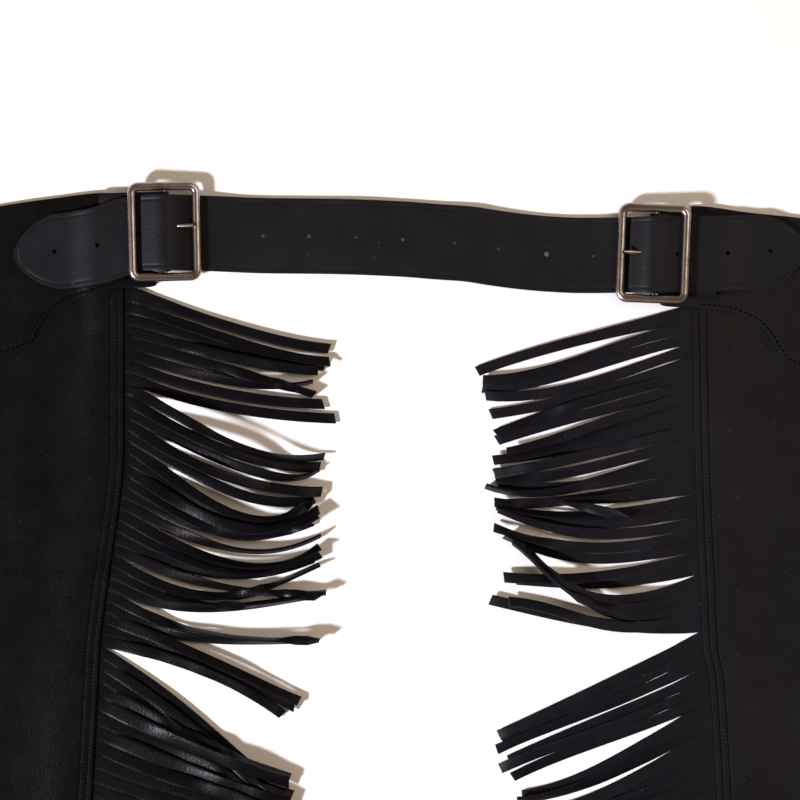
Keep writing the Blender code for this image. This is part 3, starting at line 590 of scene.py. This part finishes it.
def face_up(piece):
    """Turn an open flat-lying sheet so that its faces look up."""
    if sum(face.normal.z * face.area for face in piece.data.polygons) < 0:
        take(piece)
        bpy.ops.object.mode_set(mode="EDIT")
        bpy.ops.mesh.select_all(action="SELECT")
        bpy.ops.mesh.flip_normals()
        bpy.ops.object.mode_set(mode="OBJECT")


def grid_sheet(name, columns, rows, point_at):
    """A grid primitive, each of its points moved to where the leather lies: point_at(u, v)."""
    deselect()
    bpy.ops.mesh.primitive_grid_add(x_subdivisions=columns, y_subdivisions=rows, size=2.0)
    sheet = bpy.context.object
    sheet.name = name
    for vertex in sheet.data.vertices:
        vertex.co = point_at((vertex.co.x + 1) / 2, (vertex.co.y + 1) / 2)
    sheet.data.update()
    face_up(sheet)
    return sheet


def make_wall(sheet, thickness, offset, rounding):
    """Give a sheet its thickness and round the cut edges."""
    apply_modifier(sheet, "SOLIDIFY", thickness=thickness * MM, offset=offset)
    apply_modifier(sheet, "BEVEL", width=rounding * MM, segments=2, limit_method="ANGLE",
                   angle_limit=math.radians(50), use_clamp_overlap=True)


def finish_leather(sheet, grain, replaced):
    """Grain on the faces, cut leather on the sides, smooth shading, body and node."""
    sheet.data.materials.clear()
    sheet.data.materials.append(grain)
    sheet.data.materials.append(CUT_EDGE)
    for face in sheet.data.polygons:
        face.material_index = 1 if abs(face.normal.z) < 0.3 else 0
    take(sheet)
    bpy.ops.object.shade_smooth_by_angle(angle=math.radians(40))
    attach(sheet, "root")
    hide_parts(replaced)


def punch(piece, centres, radius, depth, sides=20):
    """Cut a row of round holes with upright pegs."""
    pegs = []
    for centre in centres:
        deselect()
        bpy.ops.mesh.primitive_cylinder_add(vertices=sides, radius=radius * MM, depth=depth * MM,
                                            location=centre)
        pegs.append(bpy.context.object)
    deselect()
    for peg in pegs:
        peg.select_set(True)
    bpy.context.view_layer.objects.active = pegs[0]
    bpy.ops.object.join()
    punch_tool = bpy.context.object
    apply_modifier(piece, "BOOLEAN", operation="DIFFERENCE", solver="EXACT", object=punch_tool)
    bpy.data.objects.remove(punch_tool)


# Leg panels

def leg_place(side, row_up, share):
    """A point of a leg's underside on the row that starts at row_up on the seam edge."""
    start_out = seam_out(side, row_up)
    start_up = min(row_up, waist_up(side, start_out))
    end_out = read_smooth(LEG_FRONT, row_up, 1)
    end_up = read_smooth(LEG_FRONT, row_up, 2)
    out = start_out + (end_out - start_out) * share
    up = start_up + (end_up - start_up) * share
    if row_up >= SEAM_EDGE[0][0] - WAIST_BLEND:
        curve_up = waist_up(side, out)
        top_line = waist_up(side, start_out)
        top_line += (waist_up(side, end_out) - top_line) * share
        fade = ease((row_up - SEAM_EDGE[0][0] + WAIST_BLEND) / WAIST_BLEND)
        up += (curve_up - top_line) * fade
    z = lift(side, out, up) + ridge_height(side, out, up) - stitch_groove(side, out, up)
    return place(side * out, up, z)


def stitch_groove(side, out, up):
    """The leather pulled in along the two seam rows."""
    if up > STRIP_TOP[side]:
        return 0.0
    from_edge = out - seam_out(side, up)
    return sum(SEWN_DEPTH * math.exp(-((from_edge - row) / SEWN_REACH) ** 2) for row in SEAM_ROWS)


def leg_share(side, row_up, u):
    """Columns gather near the seam edge, where the sewing is."""
    width = read_smooth(LEG_FRONT, row_up, 1) - seam_out(side, row_up)
    near = 26.0
    if u < 0.4:
        return near / width * u / 0.4
    return near / width + (1 - near / width) * (u - 0.4) / 0.6


def make_leg(side):
    top, bottom = SEAM_EDGE[0][0], HEM_UP

    def point_at(u, v):
        row_up = top + (bottom - top) * v ** 1.25
        return leg_place(side, row_up, leg_share(side, row_up, u))

    leg = grid_sheet("leg_panel_" + SIDE_NAME[side], *LEG_GRID, point_at)
    make_wall(leg, LEG_T, 1.0, 0.35)
    punch(leg, lace_holes(side), LACE_HOLE_R, 20.0)
    finish_leather(leg, LEG_LEATHER, "leg_" + SIDE_NAME[side])
    return leg


def lace_holes(side):
    """Where the front lace goes through yoke and leg."""
    top = waist_up(side, FRONT_LACE_OUT)
    centres = []
    for k in range(FRONT_LACE_HOLES):
        drop = FRONT_LACE_FIRST + k * FRONT_LACE_PITCH
        out = FRONT_LACE_OUT + drop * FRONT_LACE_LEAN - LACE_HOLE_INSET
        centres.append(place(side * out, top - drop, 0.0))
    return centres


# Yokes

def yoke_edges(side, out):
    """Top and bottom of the yoke at a distance out."""
    tab = YOKE_TAB[side]
    body_from = tab[-1][0] + 1.0
    if out <= tab[-1][0]:
        return read_smooth(tab, out, 1), read_smooth(tab, out, 2)
    body = (waist_up(side, out), read_smooth(YOKE_EDGE[side], out))
    if out >= body_from:
        return body
    share = (out - tab[-1][0]) / (body_from - tab[-1][0])
    return tuple(a + (b - a) * share for a, b in zip(tab[-1][1:], body))


def edge_packed(v, rim):
    """Rows gather in both rims of a band: rim is their width as a share of the band."""
    if v < 0.25:
        return rim * v / 0.25
    if v > 0.75:
        return 1 - rim * (1 - v) / 0.25
    return rim + (1 - 2 * rim) * (v - 0.25) / 0.5


def make_yoke(side):
    start = YOKE_TAB[side][0][0]

    def point_at(u, v):
        if u < 0.7:
            out = start + (YOKE_DENSE_END - start) * u / 0.7
        else:
            out = YOKE_DENSE_END + (YOKE_FRONT - YOKE_DENSE_END) * (u - 0.7) / 0.3
        top, bottom = yoke_edges(side, out)
        share = edge_packed(v, RIM / (top - bottom))
        up = top + (bottom - top) * share
        slope = (yoke_edges(side, out + 0.5)[1] - yoke_edges(side, out - 0.5)[1])
        from_edge = (up - bottom) / math.sqrt(1 + slope * slope)
        groove = SEWN_DEPTH * math.exp(-((from_edge - YOKE_ROW_INSET) / SEWN_REACH) ** 2)
        if out < seam_out(side, up) + 4.0:
            groove = 0.0
        return place(side * out, up, LEG_T + GAP + lift(side, out - YOKE_LAG, up - YOKE_LAG) - groove)

    yoke = grid_sheet("yoke_panel_" + SIDE_NAME[side], *YOKE_GRID, point_at)
    make_wall(yoke, LEG_T, 1.0, 0.4)
    punch(yoke, lace_holes(side), LACE_HOLE_R, 20.0)
    finish_leather(yoke, YOKE_LEATHER, "yoke_" + SIDE_NAME[side])
    return yoke


# Waist strap

def strap_height_rows():
    left, right = BUCKLE_AT[LEFT][0], BUCKLE_AT[RIGHT][0]
    return (
        (left - CHAPE_LENGTH - 20.0, STRAP_ON_YOKE),
        (left - CHAPE_LENGTH - 2.0, STRAP_ON_CHAPE),
        (left - HALF_SPAN, STRAP_ON_CHAPE),
        (left, STRAP_ON_BAR),
        (left + HALF_SPAN, STRAP_INNER_BAR),
        (left + HALF_SPAN + 26.0, STRAP_REST),
        (right - HALF_SPAN - 26.0, STRAP_REST),
        (right - HALF_SPAN, STRAP_INNER_BAR),
        (right, STRAP_ON_BAR),
        (right + HALF_SPAN, STRAP_ON_CHAPE),
        (right + CHAPE_LENGTH + 2.0, STRAP_ON_CHAPE),
        (right + CHAPE_LENGTH + 20.0, STRAP_ON_YOKE),
    )


STRAP_HEIGHTS = strap_height_rows()


def strap_place(across, share):
    """A point on the strap's underside: share runs from -1 at its lower edge to 1."""
    step = 0.5
    slope = (read_smooth(STRAP_LINE, across + step) - read_smooth(STRAP_LINE, across - step)) / (2 * step)
    square = Vector((-slope, 1.0)).normalized()
    from_tip = min(across - STRAP_LINE[0][0], STRAP_LINE[-1][0] - across)
    half = STRAP_HALF_WIDTH
    if from_tip < STRAP_TIP_LENGTH:
        inward = (STRAP_TIP_LENGTH - from_tip) / STRAP_TIP_LENGTH
        half *= max(0.0, 1 - inward ** STRAP_TIP_POWER) ** (1 / STRAP_TIP_POWER)
    point = Vector((across, read_smooth(STRAP_LINE, across))) + square * half * share
    side = LEFT if across < 0 else RIGHT
    buckle = Vector(BUCKLE_AT[side])
    turned = (point - buckle).dot(Vector((math.cos(BUCKLE_TURN[side]), math.sin(BUCKLE_TURN[side]))))
    from_edge = min(half * (1 - abs(share)), from_tip)
    crease = 0.22 * math.exp(-((from_edge - STRAP_CREASE_INSET) / 0.45) ** 2)
    height = read_eased(STRAP_HEIGHTS, buckle.x + turned) - crease + strap_wave(point.x)
    return place(point.x, point.y, height)


def strap_wave(across):
    """Small lifts of the strap's free span, off the floor between the buckles."""
    return sum(top * math.exp(-((across - middle) / reach) ** 2)
               for middle, reach, top in ((-22.0, 16.0, 0.5), (42.0, 20.0, 0.9), (105.0, 6.0, 0.5)))


def make_strap():
    start, end = STRAP_LINE[0][0], STRAP_LINE[-1][0]
    tip = 9.0

    def point_at(u, v):
        if u < 0.04:
            across = start + 0.05 + tip * (u / 0.04) ** 2
        elif u > 0.96:
            across = end - 0.05 - tip * ((1 - u) / 0.04) ** 2
        else:
            across = start + 0.05 + tip + (end - start - 0.1 - 2 * tip) * (u - 0.04) / 0.92
        return strap_place(across, 2 * edge_packed(v, RIM / (2 * STRAP_HALF_WIDTH)) - 1)

    strap = grid_sheet("strap", *STRAP_GRID, point_at)
    make_wall(strap, STRAP_T, 1.0, 0.55)
    plain_holes = [across for across in STRAP_HOLES if across != OPEN_HOLE]
    for radius, holes in ((OPEN_HOLE_R, [OPEN_HOLE]), (STRAP_HOLE_R, plain_holes)):
        centres = [place(across, read_smooth(STRAP_LINE, across), 0.0) for across in holes]
        punch(strap, centres, radius, 40.0)
    for side in (LEFT, RIGHT):
        room = wire("prong_room", prong_points(side)[-4:], [PRONG_R + 0.3] * 4, 16)
        apply_modifier(strap, "BOOLEAN", operation="DIFFERENCE", solver="EXACT", object=room)
        bpy.data.objects.remove(room)
    finish_leather(strap, STRAP_LEATHER, "waist_strap")
    return strap


# Fringe

def root_of(side, number):
    """Where the middle of a strand leaves the strip: out, up."""
    seen = min(number + 0.5, SEEN_STRANDS)
    up = STRIP_TOP[side] - seen * SEEN_PITCH - (number + 0.5 - seen) * HIDDEN_PITCH
    return Vector((seam_out(side, up) - STRIP_PAST_EDGE, up))


def pitch_of(number):
    return SEEN_PITCH if number < SEEN_STRANDS else HIDDEN_PITCH


def strand_rows(side):
    """A row for every strand: those in view as listed, the rest bunched by the same few habits."""
    rows = list(SEEN_ROWS[side])
    cycle = 0
    while len(rows) < STRANDS:
        count, drop, spread = HIDDEN_BUNCHES[cycle % len(HIDDEN_BUNCHES)]
        first = len(rows)
        middle = first + (count - 1) / 2
        bow = random.uniform(36.0, 56.0)
        land = random.uniform(-26.0, 16.0)
        for k in range(count):
            root = root_of(side, first + k)
            low = drop + random.uniform(-2.5, 2.5)
            up = root_of(side, middle).y - (first + k - middle) * HIDDEN_PITCH * spread - low
            reach = math.sqrt(STRAND_LENGTH ** 2 - low ** 2) - random.uniform(1.0, 6.0)
            leave = math.degrees(math.atan2(root.y - up, reach)) * 1.15
            twist = random.choice((0.0, 5.0, 10.0, 20.0, 50.0))
            rows.append((root.x - reach, up, leave, leave * 0.7 + land, bow, 40.0,
                         twist * 0.6, twist + 5.0, random.choice((0, 1, 2))))
        cycle += 1
    return rows[:STRANDS]


def strand_line(side, number, row, t):
    """The middle of a strand: a cubic from its root to its tip, in out and up."""
    tip_out, tip_up, leave, land, root_handle, tip_handle = row[:6]
    leave, land = math.radians(leave), math.radians(land)
    root = root_of(side, number)
    tip = Vector((tip_out, tip_up))
    first = root + Vector((-math.cos(leave), -math.sin(leave))) * root_handle
    second = tip - Vector((-math.cos(land), -math.sin(land))) * tip_handle
    s = 1 - t
    return root * s ** 3 + first * 3 * s * s * t + second * 3 * s * t * t + tip * t ** 3


class Ground:
    """How high the strands laid so far reach, in small square cells."""

    def __init__(self, cell):
        self.cell = cell
        self.tops = {}

    def key(self, point):
        return round(point.x / self.cell), round(point.y / self.cell)

    def height(self, point):
        return self.tops.get(self.key(point), 0.0)

    def cover(self, point, top):
        key = self.key(point)
        self.tops[key] = max(top, self.tops.get(key, 0.0))


def softened(values):
    """Each value drawn towards its neighbours, the ends kept."""
    inner = [(a + 2 * b + c) / 4 for a, b, c in zip(values, values[1:], values[2:])]
    return [values[0], *inner, values[-1]]


def bridged(heights, steepest):
    """Heights that never fall faster than leather bends, softened along the strand."""
    count = len(heights)
    return softened([max(heights[j] - steepest * abs(i - j) for j in range(count)) for i in range(count)])


def strand_places(side, number, row):
    """Along a strand: share of its length, middle, direction, square direction, half width, twist."""
    mid_twist, tip_twist = math.radians(row[6]), math.radians(row[7])
    wander = random.uniform(-0.5, 0.5)
    phase = random.uniform(0.0, 6.28)
    slit_end = random.uniform(0.04, 0.22)
    width = (pitch_of(number) - SLIT) * random.uniform(0.95, 1.0)
    places = []
    for step in range(STRAND_STEPS + 1):
        t = (step / STRAND_STEPS) ** 1.1
        here = strand_line(side, number, row, t)
        ahead = strand_line(side, number, row, min(1.0, t + 0.01))
        along = (ahead - strand_line(side, number, row, max(0.0, t - 0.01))).normalized()
        square = Vector((along.y, -along.x))
        here = here + square * wander * math.sin(phase + 5.0 * t) * ease(t / 0.4)
        twist = mid_twist * ease((t - 0.12) / 0.43) + (tip_twist - mid_twist) * ease((t - 0.5) / 0.5)
        open_slit = ease((t - slit_end) / 0.08)
        half = ((pitch_of(number) - CLOSED_SLIT) * (1 - open_slit) + width * open_slit) / 2
        if number == 0:
            rise = FIRST_STRAND_RISE / 2 * (1 - ease(t / 0.5))
            here, half = here + square * rise, half + rise
        places.append((t, here, along, square, half, twist))
    return places


def lay_strand(side, number, row, ground):
    """Sections of a strand, each a row of points (out, up, z), lying on what is already there."""
    places = strand_places(side, number, row)
    arch, tip_rise = random.uniform(0.4, 1.6), random.uniform(0.3, 1.8)
    first_arched, last_arched, arched = ARCHED[side]
    if first_arched <= number <= last_arched:
        arch += arched
    slant = random.uniform(-1.0, 1.0)
    angles, needed = [], []
    leans = 1.0
    for t, here, along, square, half, twist in places:
        free = ease((t - 0.08) / 0.08)
        flat = half * math.cos(twist) * 0.8
        first = ground.height(here + square * flat) * free
        last = ground.height(here - square * flat) * free
        roll = math.atan2(first - last, 2 * half)
        if abs(roll) > 0.08:
            leans = math.copysign(1.0, roll)
        angle = leans * min(STEEPEST_TWIST, abs(roll) * 0.6 + twist)
        angles.append(angle)
        rise, reach = half * math.sin(angle), half * math.cos(angle)
        needed.append(max(ground.height(here + square * reach * share) * free - rise * share
                          for share in ACROSS_STRAND))
    angles = softened(softened(angles))
    heights = bridged(needed, 0.28 * STRAND_LENGTH / STRAND_STEPS)
    sections = []
    for (t, here, along, square, half, twist), angle, carried in zip(places, angles, heights):
        base = STRAND_CLEAR * ease(t / 0.12) + arch * math.sin(math.pi * t ** 0.9) ** 2
        base += tip_rise * ease((t - 0.3) / 0.7)
        height = STRIP_T / 2 + carried * ease(t / 0.12) + base
        cup = 0.22 * math.sin(math.pi * min(1.0, t * 1.1)) ** 2
        points = []
        for share in ACROSS_STRAND:
            shift = along * (slant * share if t == 1.0 else 0.0)
            spot = here + square * half * math.cos(angle) * share + shift
            z = height + half * math.sin(angle) * share + cup * (1 - share * share)
            points.append((spot.x, spot.y, z))
        sections.append(points)
    cover_strand(ground, sections)
    return sections


def settled(height):
    """The pile's own weight presses its upper strands down."""
    if height <= PILE_LOOSE:
        return height
    return PILE_LOOSE + PILE_GIVES * (1 - math.exp(-(height - PILE_LOOSE) / PILE_GIVES))


def cover_strand(ground, sections):
    """Note the room that a strand takes, for those laid over it."""
    for before, after in zip(sections[2:], sections[3:]):
        for part in range(10):
            s = part / 10
            for k in range(4):
                for inner in (0.0, 0.33, 0.67):
                    a = Vector(before[k]).lerp(Vector(before[k + 1]), inner)
                    b = Vector(after[k]).lerp(Vector(after[k + 1]), inner)
                    spot = a.lerp(b, s)
                    ground.cover(spot.xy, spot.z + STRIP_T / 2 + 0.1)


def make_fringe(side):
    """The strip with its strands as one comb of leather."""
    rows = strand_rows(side)
    ground = Ground(0.6)
    order = sorted(range(STRANDS), key=lambda number: (rows[number][8], number))
    laid = {number: lay_strand(side, number, rows[number], ground) for number in order}
    bm = bmesh.new()

    def vert(out, up, z):
        return bm.verts.new(place(side * out, up, settled(z)))

    gap_before = None
    for number in range(STRANDS):
        front = [vert(*point) for point in laid[number][0]]
        back = [vert(seam_out(side, point[1]) + STRIP_UNDER_LEG, point[1], STRIP_T / 2)
                for point in laid[number][0]]
        for k in range(4):
            bm.faces.new((front[k], front[k + 1], back[k + 1], back[k]))
        if gap_before:
            bm.faces.new((gap_before[0], front[0], back[0], gap_before[1]))
        gap_before = (front[-1], back[-1])
        edge = front
        for section in laid[number][1:]:
            following = [vert(*point) for point in section]
            for k in range(4):
                bm.faces.new((edge[k], edge[k + 1], following[k + 1], following[k]))
            edge = following
    bmesh.ops.recalc_face_normals(bm, faces=bm.faces)
    name = "fringe_strands_" + SIDE_NAME[side]
    mesh = bpy.data.meshes.new(name)
    bm.to_mesh(mesh)
    bm.free()
    fringe = bpy.data.objects.new(name, mesh)
    bpy.context.scene.collection.objects.link(fringe)
    face_up(fringe)
    make_wall(fringe, STRIP_T, 0.0, 0.2)
    finish_leather(fringe, FRINGE_LEATHER, "fringe_" + SIDE_NAME[side])
    return fringe


# Sewing

def sew(name, path, pitch):
    """A row of stitches on a path of (point, sideways) in metres, one joined mesh."""
    deselect()
    bpy.ops.mesh.primitive_uv_sphere_add(segments=8, ring_count=5, radius=1.0)
    pattern = bpy.context.object
    length = pitch * 0.36
    for vertex in pattern.data.vertices:
        x, y, z = vertex.co.z, vertex.co.x, vertex.co.y
        vertex.co = Vector((x * length, y * THREAD_R, z * THREAD_R)) * MM
    bm = bmesh.new()
    for point, along in path:
        stitch = bmesh.new()
        stitch.from_mesh(pattern.data)
        turn = Vector(along).to_track_quat("X", "Z").to_matrix().to_4x4()
        stitch.transform(Matrix.Translation(point) @ turn)
        copy = bpy.data.meshes.new("stitch")
        stitch.to_mesh(copy)
        stitch.free()
        bm.from_mesh(copy)
        bpy.data.meshes.remove(copy)
    bpy.data.objects.remove(pattern)
    mesh = bpy.data.meshes.new(name)
    bm.to_mesh(mesh)
    bm.free()
    row = bpy.data.objects.new(name, mesh)
    bpy.context.scene.collection.objects.link(row)
    mesh.materials.append(THREAD)
    take(row)
    bpy.ops.object.shade_smooth()
    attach(row, "root")
    return row


def walk(points, pitch):
    """Points a pitch apart along a line of points, each with its direction."""
    path = []
    left = 0.0
    for a, b in zip(points, points[1:]):
        span = (b - a).length
        along = (b - a).normalized()
        while left < span:
            path.append((a + along * left, along))
            left += pitch * MM
        left -= span
    return path


def sew_seams(side):
    """Two rows down the leg's seam edge, through the fringe strip."""
    rows = []
    for number, inset in enumerate(SEAM_ROWS):
        points = []
        up = STRIP_TOP[side] - 1.5
        while up > HEM_UP + 2.0:
            out = seam_out(side, up) + inset
            z = LEG_T + lift(side, out, up) - SEWN_DEPTH + THREAD_R * 0.3
            points.append(place(side * out, up, z))
            up -= 4.0
        name = "seam_stitches_%s_%d" % (SIDE_NAME[side], number + 1)
        rows.append(sew(name, walk(points, SEAM_STITCH), SEAM_STITCH))
    return rows


def sew_yoke(side):
    """One row along the yoke's scalloped lower edge."""
    points = []
    out = seam_out(side, STRIP_TOP[side]) + 5.5
    while out < YOKE_FRONT - 3.0:
        bottom = yoke_edges(side, out)[1]
        slope = yoke_edges(side, out + 0.5)[1] - yoke_edges(side, out - 0.5)[1]
        inward = Vector((-slope, 1.0)).normalized() * YOKE_ROW_INSET
        at_out, at_up = out + inward.x, bottom + inward.y
        z = YOKE_TOP + lift(side, at_out - YOKE_LAG, at_up - YOKE_LAG) - SEWN_DEPTH + THREAD_R * 0.3
        points.append(place(side * at_out, at_up, z))
        out += 1.5
    return sew("yoke_stitches_" + SIDE_NAME[side], walk(points, YOKE_STITCH), YOKE_STITCH)


# Buckles

def wire(name, points, radii, sides, closed=False):
    """A round wire through points in metres, radii in millimetres, as a closed mesh."""
    curve = bpy.data.curves.new(name, "CURVE")
    curve.dimensions = "3D"
    curve.bevel_depth = MM
    curve.bevel_resolution = sides // 4
    curve.use_fill_caps = True
    spline = curve.splines.new("POLY")
    spline.points.add(len(points) - 1)
    for target, point, radius in zip(spline.points, points, radii):
        target.co = (*point, 1.0)
        target.radius = radius
    spline.use_cyclic_u = closed
    piece = bpy.data.objects.new(name, curve)
    bpy.context.scene.collection.objects.link(piece)
    take(piece)
    bpy.ops.object.convert(target="MESH")
    piece = bpy.context.object
    bpy.ops.object.mode_set(mode="EDIT")
    bpy.ops.mesh.select_all(action="SELECT")
    bpy.ops.mesh.remove_doubles(threshold=0.00001)
    bpy.ops.mesh.normals_make_consistent(inside=False)
    bpy.ops.object.mode_set(mode="OBJECT")
    return piece


def buckle_matrix(side, tilted):
    across, up = BUCKLE_AT[side]
    height = (OUTER_BAR_Z + INNER_BAR_Z) / 2
    turn = Matrix.Rotation(BUCKLE_TURN[side] + (math.pi if side == RIGHT else 0.0), 4, "Z")
    lean = Matrix.Rotation(math.asin((OUTER_BAR_Z - INNER_BAR_Z) / (2 * HALF_SPAN)), 4, "Y")
    middle = Matrix.Translation(place(across, up, height if tilted else 0.0))
    return middle @ turn @ (lean if tilted else Matrix())


def rounded_outline(side):
    half_x = HALF_SPAN - CORNER_R
    half_y = BUCKLE_HEIGHT / 2 - FRAME_R - CORNER_R
    matrix = buckle_matrix(side, True)
    outline = []
    for corner, (sx, sy) in enumerate(((1, 1), (-1, 1), (-1, -1), (1, -1))):
        for step in range(11):
            angle = math.pi / 2 * (corner + step / 10)
            outline.append(matrix @ (Vector((sx * half_x + CORNER_R * math.cos(angle),
                                             sy * half_y + CORNER_R * math.sin(angle), 0.0)) * MM))
    return outline


def make_buckle(side):
    name = "buckle_frame_" + SIDE_NAME[side]
    outline = rounded_outline(side)
    buckle = wire(name, outline, [FRAME_R] * len(outline), 24, closed=True)
    reach = BUCKLE_HEIGHT / 2 - FRAME_R
    matrix = buckle_matrix(side, True)
    line = [matrix @ (Vector((0.0, y, -CENTRE_BAR_DROP)) * MM) for y in (-reach, reach)]
    bar = wire(name + "_bar", line, [CENTRE_BAR_R] * 2, 20)
    apply_modifier(buckle, "BOOLEAN", operation="UNION", solver="EXACT", object=bar)
    bpy.data.objects.remove(bar)
    return finish_metal(buckle, "buckle_" + SIDE_NAME[side])


def finish_metal(piece, replaced):
    piece.data.materials.clear()
    piece.data.materials.append(NICKEL)
    take(piece)
    bpy.ops.object.shade_smooth_by_angle(angle=math.radians(50))
    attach(piece, "root")
    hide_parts(replaced)
    return piece


def prong_points(side):
    """The hook round the centre bar, then the shaft up through the strap to the inner bar."""
    hook = LOOP_R - CHAPE_T / 2 + PRONG_HOOK_R
    points = []
    for step in range(13):
        angle = math.radians(-240 + 240 * step / 12)
        points.append(Vector((hook * math.cos(angle), 0.0, CENTRE_BAR_Z + hook * math.sin(angle))))
    start = Vector((hook + 1.3, 0.0, CENTRE_BAR_Z + 0.9))
    end = Vector((HALF_SPAN - PRONG_SHORT, 0.0, INNER_BAR_Z + FRAME_R + GAP + 0.1 + PRONG_R))
    points += [start, start.lerp(end, 0.35), start.lerp(end, 0.7), end]
    lateral = (PRONG_UP[side] - BUCKLE_AT[side][1]) * (1 if side == LEFT else -1)
    matrix = buckle_matrix(side, False)
    return [matrix @ (Vector((point.x, lateral, point.z)) * MM) for point in points]


def make_prong(side):
    radii = [PRONG_HOOK_R] * 13 + [PRONG_R * 0.85, PRONG_R, PRONG_R, PRONG_R * 0.8]
    prong = wire("prong_pin_" + SIDE_NAME[side], prong_points(side), radii, 16)
    return finish_metal(prong, "prong_" + SIDE_NAME[side])


def make_chape(side):
    """The loop round the centre bar, under the strap."""
    profile = [(-CHAPE_LENGTH, CHAPE_UNDER_Z), (-HALF_SPAN, CHAPE_UNDER_Z), (-8.0, CHAPE_UNDER_Z + 0.1),
               (-3.5, CENTRE_BAR_Z - LOOP_R + 0.1)]
    for step in range(13):
        angle = math.radians(-90 + 180 * step / 12)
        profile.append((LOOP_R * math.cos(angle), CENTRE_BAR_Z + LOOP_R * math.sin(angle)))
    drop = STRAP_ON_BAR - CENTRE_BAR_Z - LOOP_R
    for x in (-2.5, -5.0, -7.5, -10.0, -12.5, -15.0, -HALF_SPAN, -28.0, -CHAPE_LENGTH):
        rise = STRAP_ON_CHAPE + (STRAP_ON_BAR - STRAP_ON_CHAPE) * ease(1 + x / HALF_SPAN)
        profile.append((x, rise - drop))
    matrix = buckle_matrix(side, False)
    last = len(profile) - 1

    def point_at(u, v):
        x, z = profile[min(last, round(u * last))]
        return matrix @ (Vector((x, CHAPE_WIDTH * (v - 0.5), z)) * MM)

    chape = grid_sheet("chape_loop_" + SIDE_NAME[side], last, CHAPE_ROWS, point_at)
    make_wall(chape, CHAPE_T, 0.0, 0.2)
    lateral = (PRONG_UP[side] - BUCKLE_AT[side][1]) * (1 if side == LEFT else -1)
    deselect()
    bpy.ops.mesh.primitive_cube_add(size=1.0)
    slot = bpy.context.object
    size = Vector((9.0, PRONG_SLOT, 12.0)) * MM
    slot.data.transform(matrix @ Matrix.Translation(Vector((0.5, lateral, CENTRE_BAR_Z)) * MM)
                        @ Matrix.Diagonal((*size, 1.0)))
    apply_modifier(chape, "BOOLEAN", operation="DIFFERENCE", solver="EXACT", object=slot)
    bpy.data.objects.remove(slot)
    finish_leather(chape, STRAP_LEATHER, "chape_" + SIDE_NAME[side])
    return chape


# Stage

def make_floor():
    deselect()
    bpy.ops.mesh.primitive_plane_add(size=FLOOR_SIZE, location=(0, 0, 0))
    floor = bpy.context.object
    floor.name = "white_board"
    floor.data.materials.append(FLOOR)
    floor.location.z = -FLOOR_DROP


def area_light(name, location, target, size, power, colour):
    data = bpy.data.lights.new(name, "AREA")
    data.shape = "DISK"
    data.size = size
    data.energy = power
    data.color = colour
    light = bpy.data.objects.new(name, data)
    bpy.context.scene.collection.objects.link(light)
    light.location = location
    light.rotation_euler = (Vector(target) - Vector(location)).to_track_quat("-Z", "Y").to_euler()


def make_light(middle):
    """A key from the lower left, a broad fill, and a room that is bright low down and dim above."""
    for name, (away, size, power, colour) in LIGHTS.items():
        area_light(name, middle + Vector(away), middle, size, power, colour)
    world = bpy.data.worlds.new("room")
    bpy.context.scene.world = world
    world.use_nodes = True
    flow = Flow(world.node_tree)
    coords = flow.add("TexCoord", {}, {}, "Generated")
    split = flow.add("SeparateXYZ", {}, {"Vector": coords}, "Z")
    colour = flow.add("ValToRGB", {"stops": ROOM_COLOURS}, {"Fac": split})
    back = world.node_tree.nodes["Background"]
    flow.feed(back.inputs["Color"], colour)
    back.inputs["Strength"].default_value = ROOM_STRENGTH


def make_camera(middle):
    data = bpy.data.cameras.new("camera")
    data.lens = LENS
    data.sensor_width = SENSOR
    data.clip_end = 50.0
    camera = bpy.data.objects.new("camera", data)
    bpy.context.scene.collection.objects.link(camera)
    camera.location = middle + Vector((0.0, 0.0, PHOTO_WIDTH * MM * LENS / SENSOR))
    bpy.context.scene.camera = camera


def main():
    middle = place(0.0, PHOTO_MIDDLE_UP, 0.0)
    make_camera(middle)
    make_light(middle)
    make_floor()
    sides = (LEFT, RIGHT)
    legs = {side: make_leg(side) for side in sides}
    yokes = {side: make_yoke(side) for side in sides}
    fringes = {side: make_fringe(side) for side in sides}
    strap = make_strap()
    for side in sides:
        make_buckle(side)
        make_prong(side)
    chapes = {side: make_chape(side) for side in sides}
    seams = {side: sew_seams(side) for side in sides}
    yoke_rows = {side: sew_yoke(side) for side in sides}
    scene = bpy.context.scene
    scene.view_settings.view_transform = "Standard"


main()
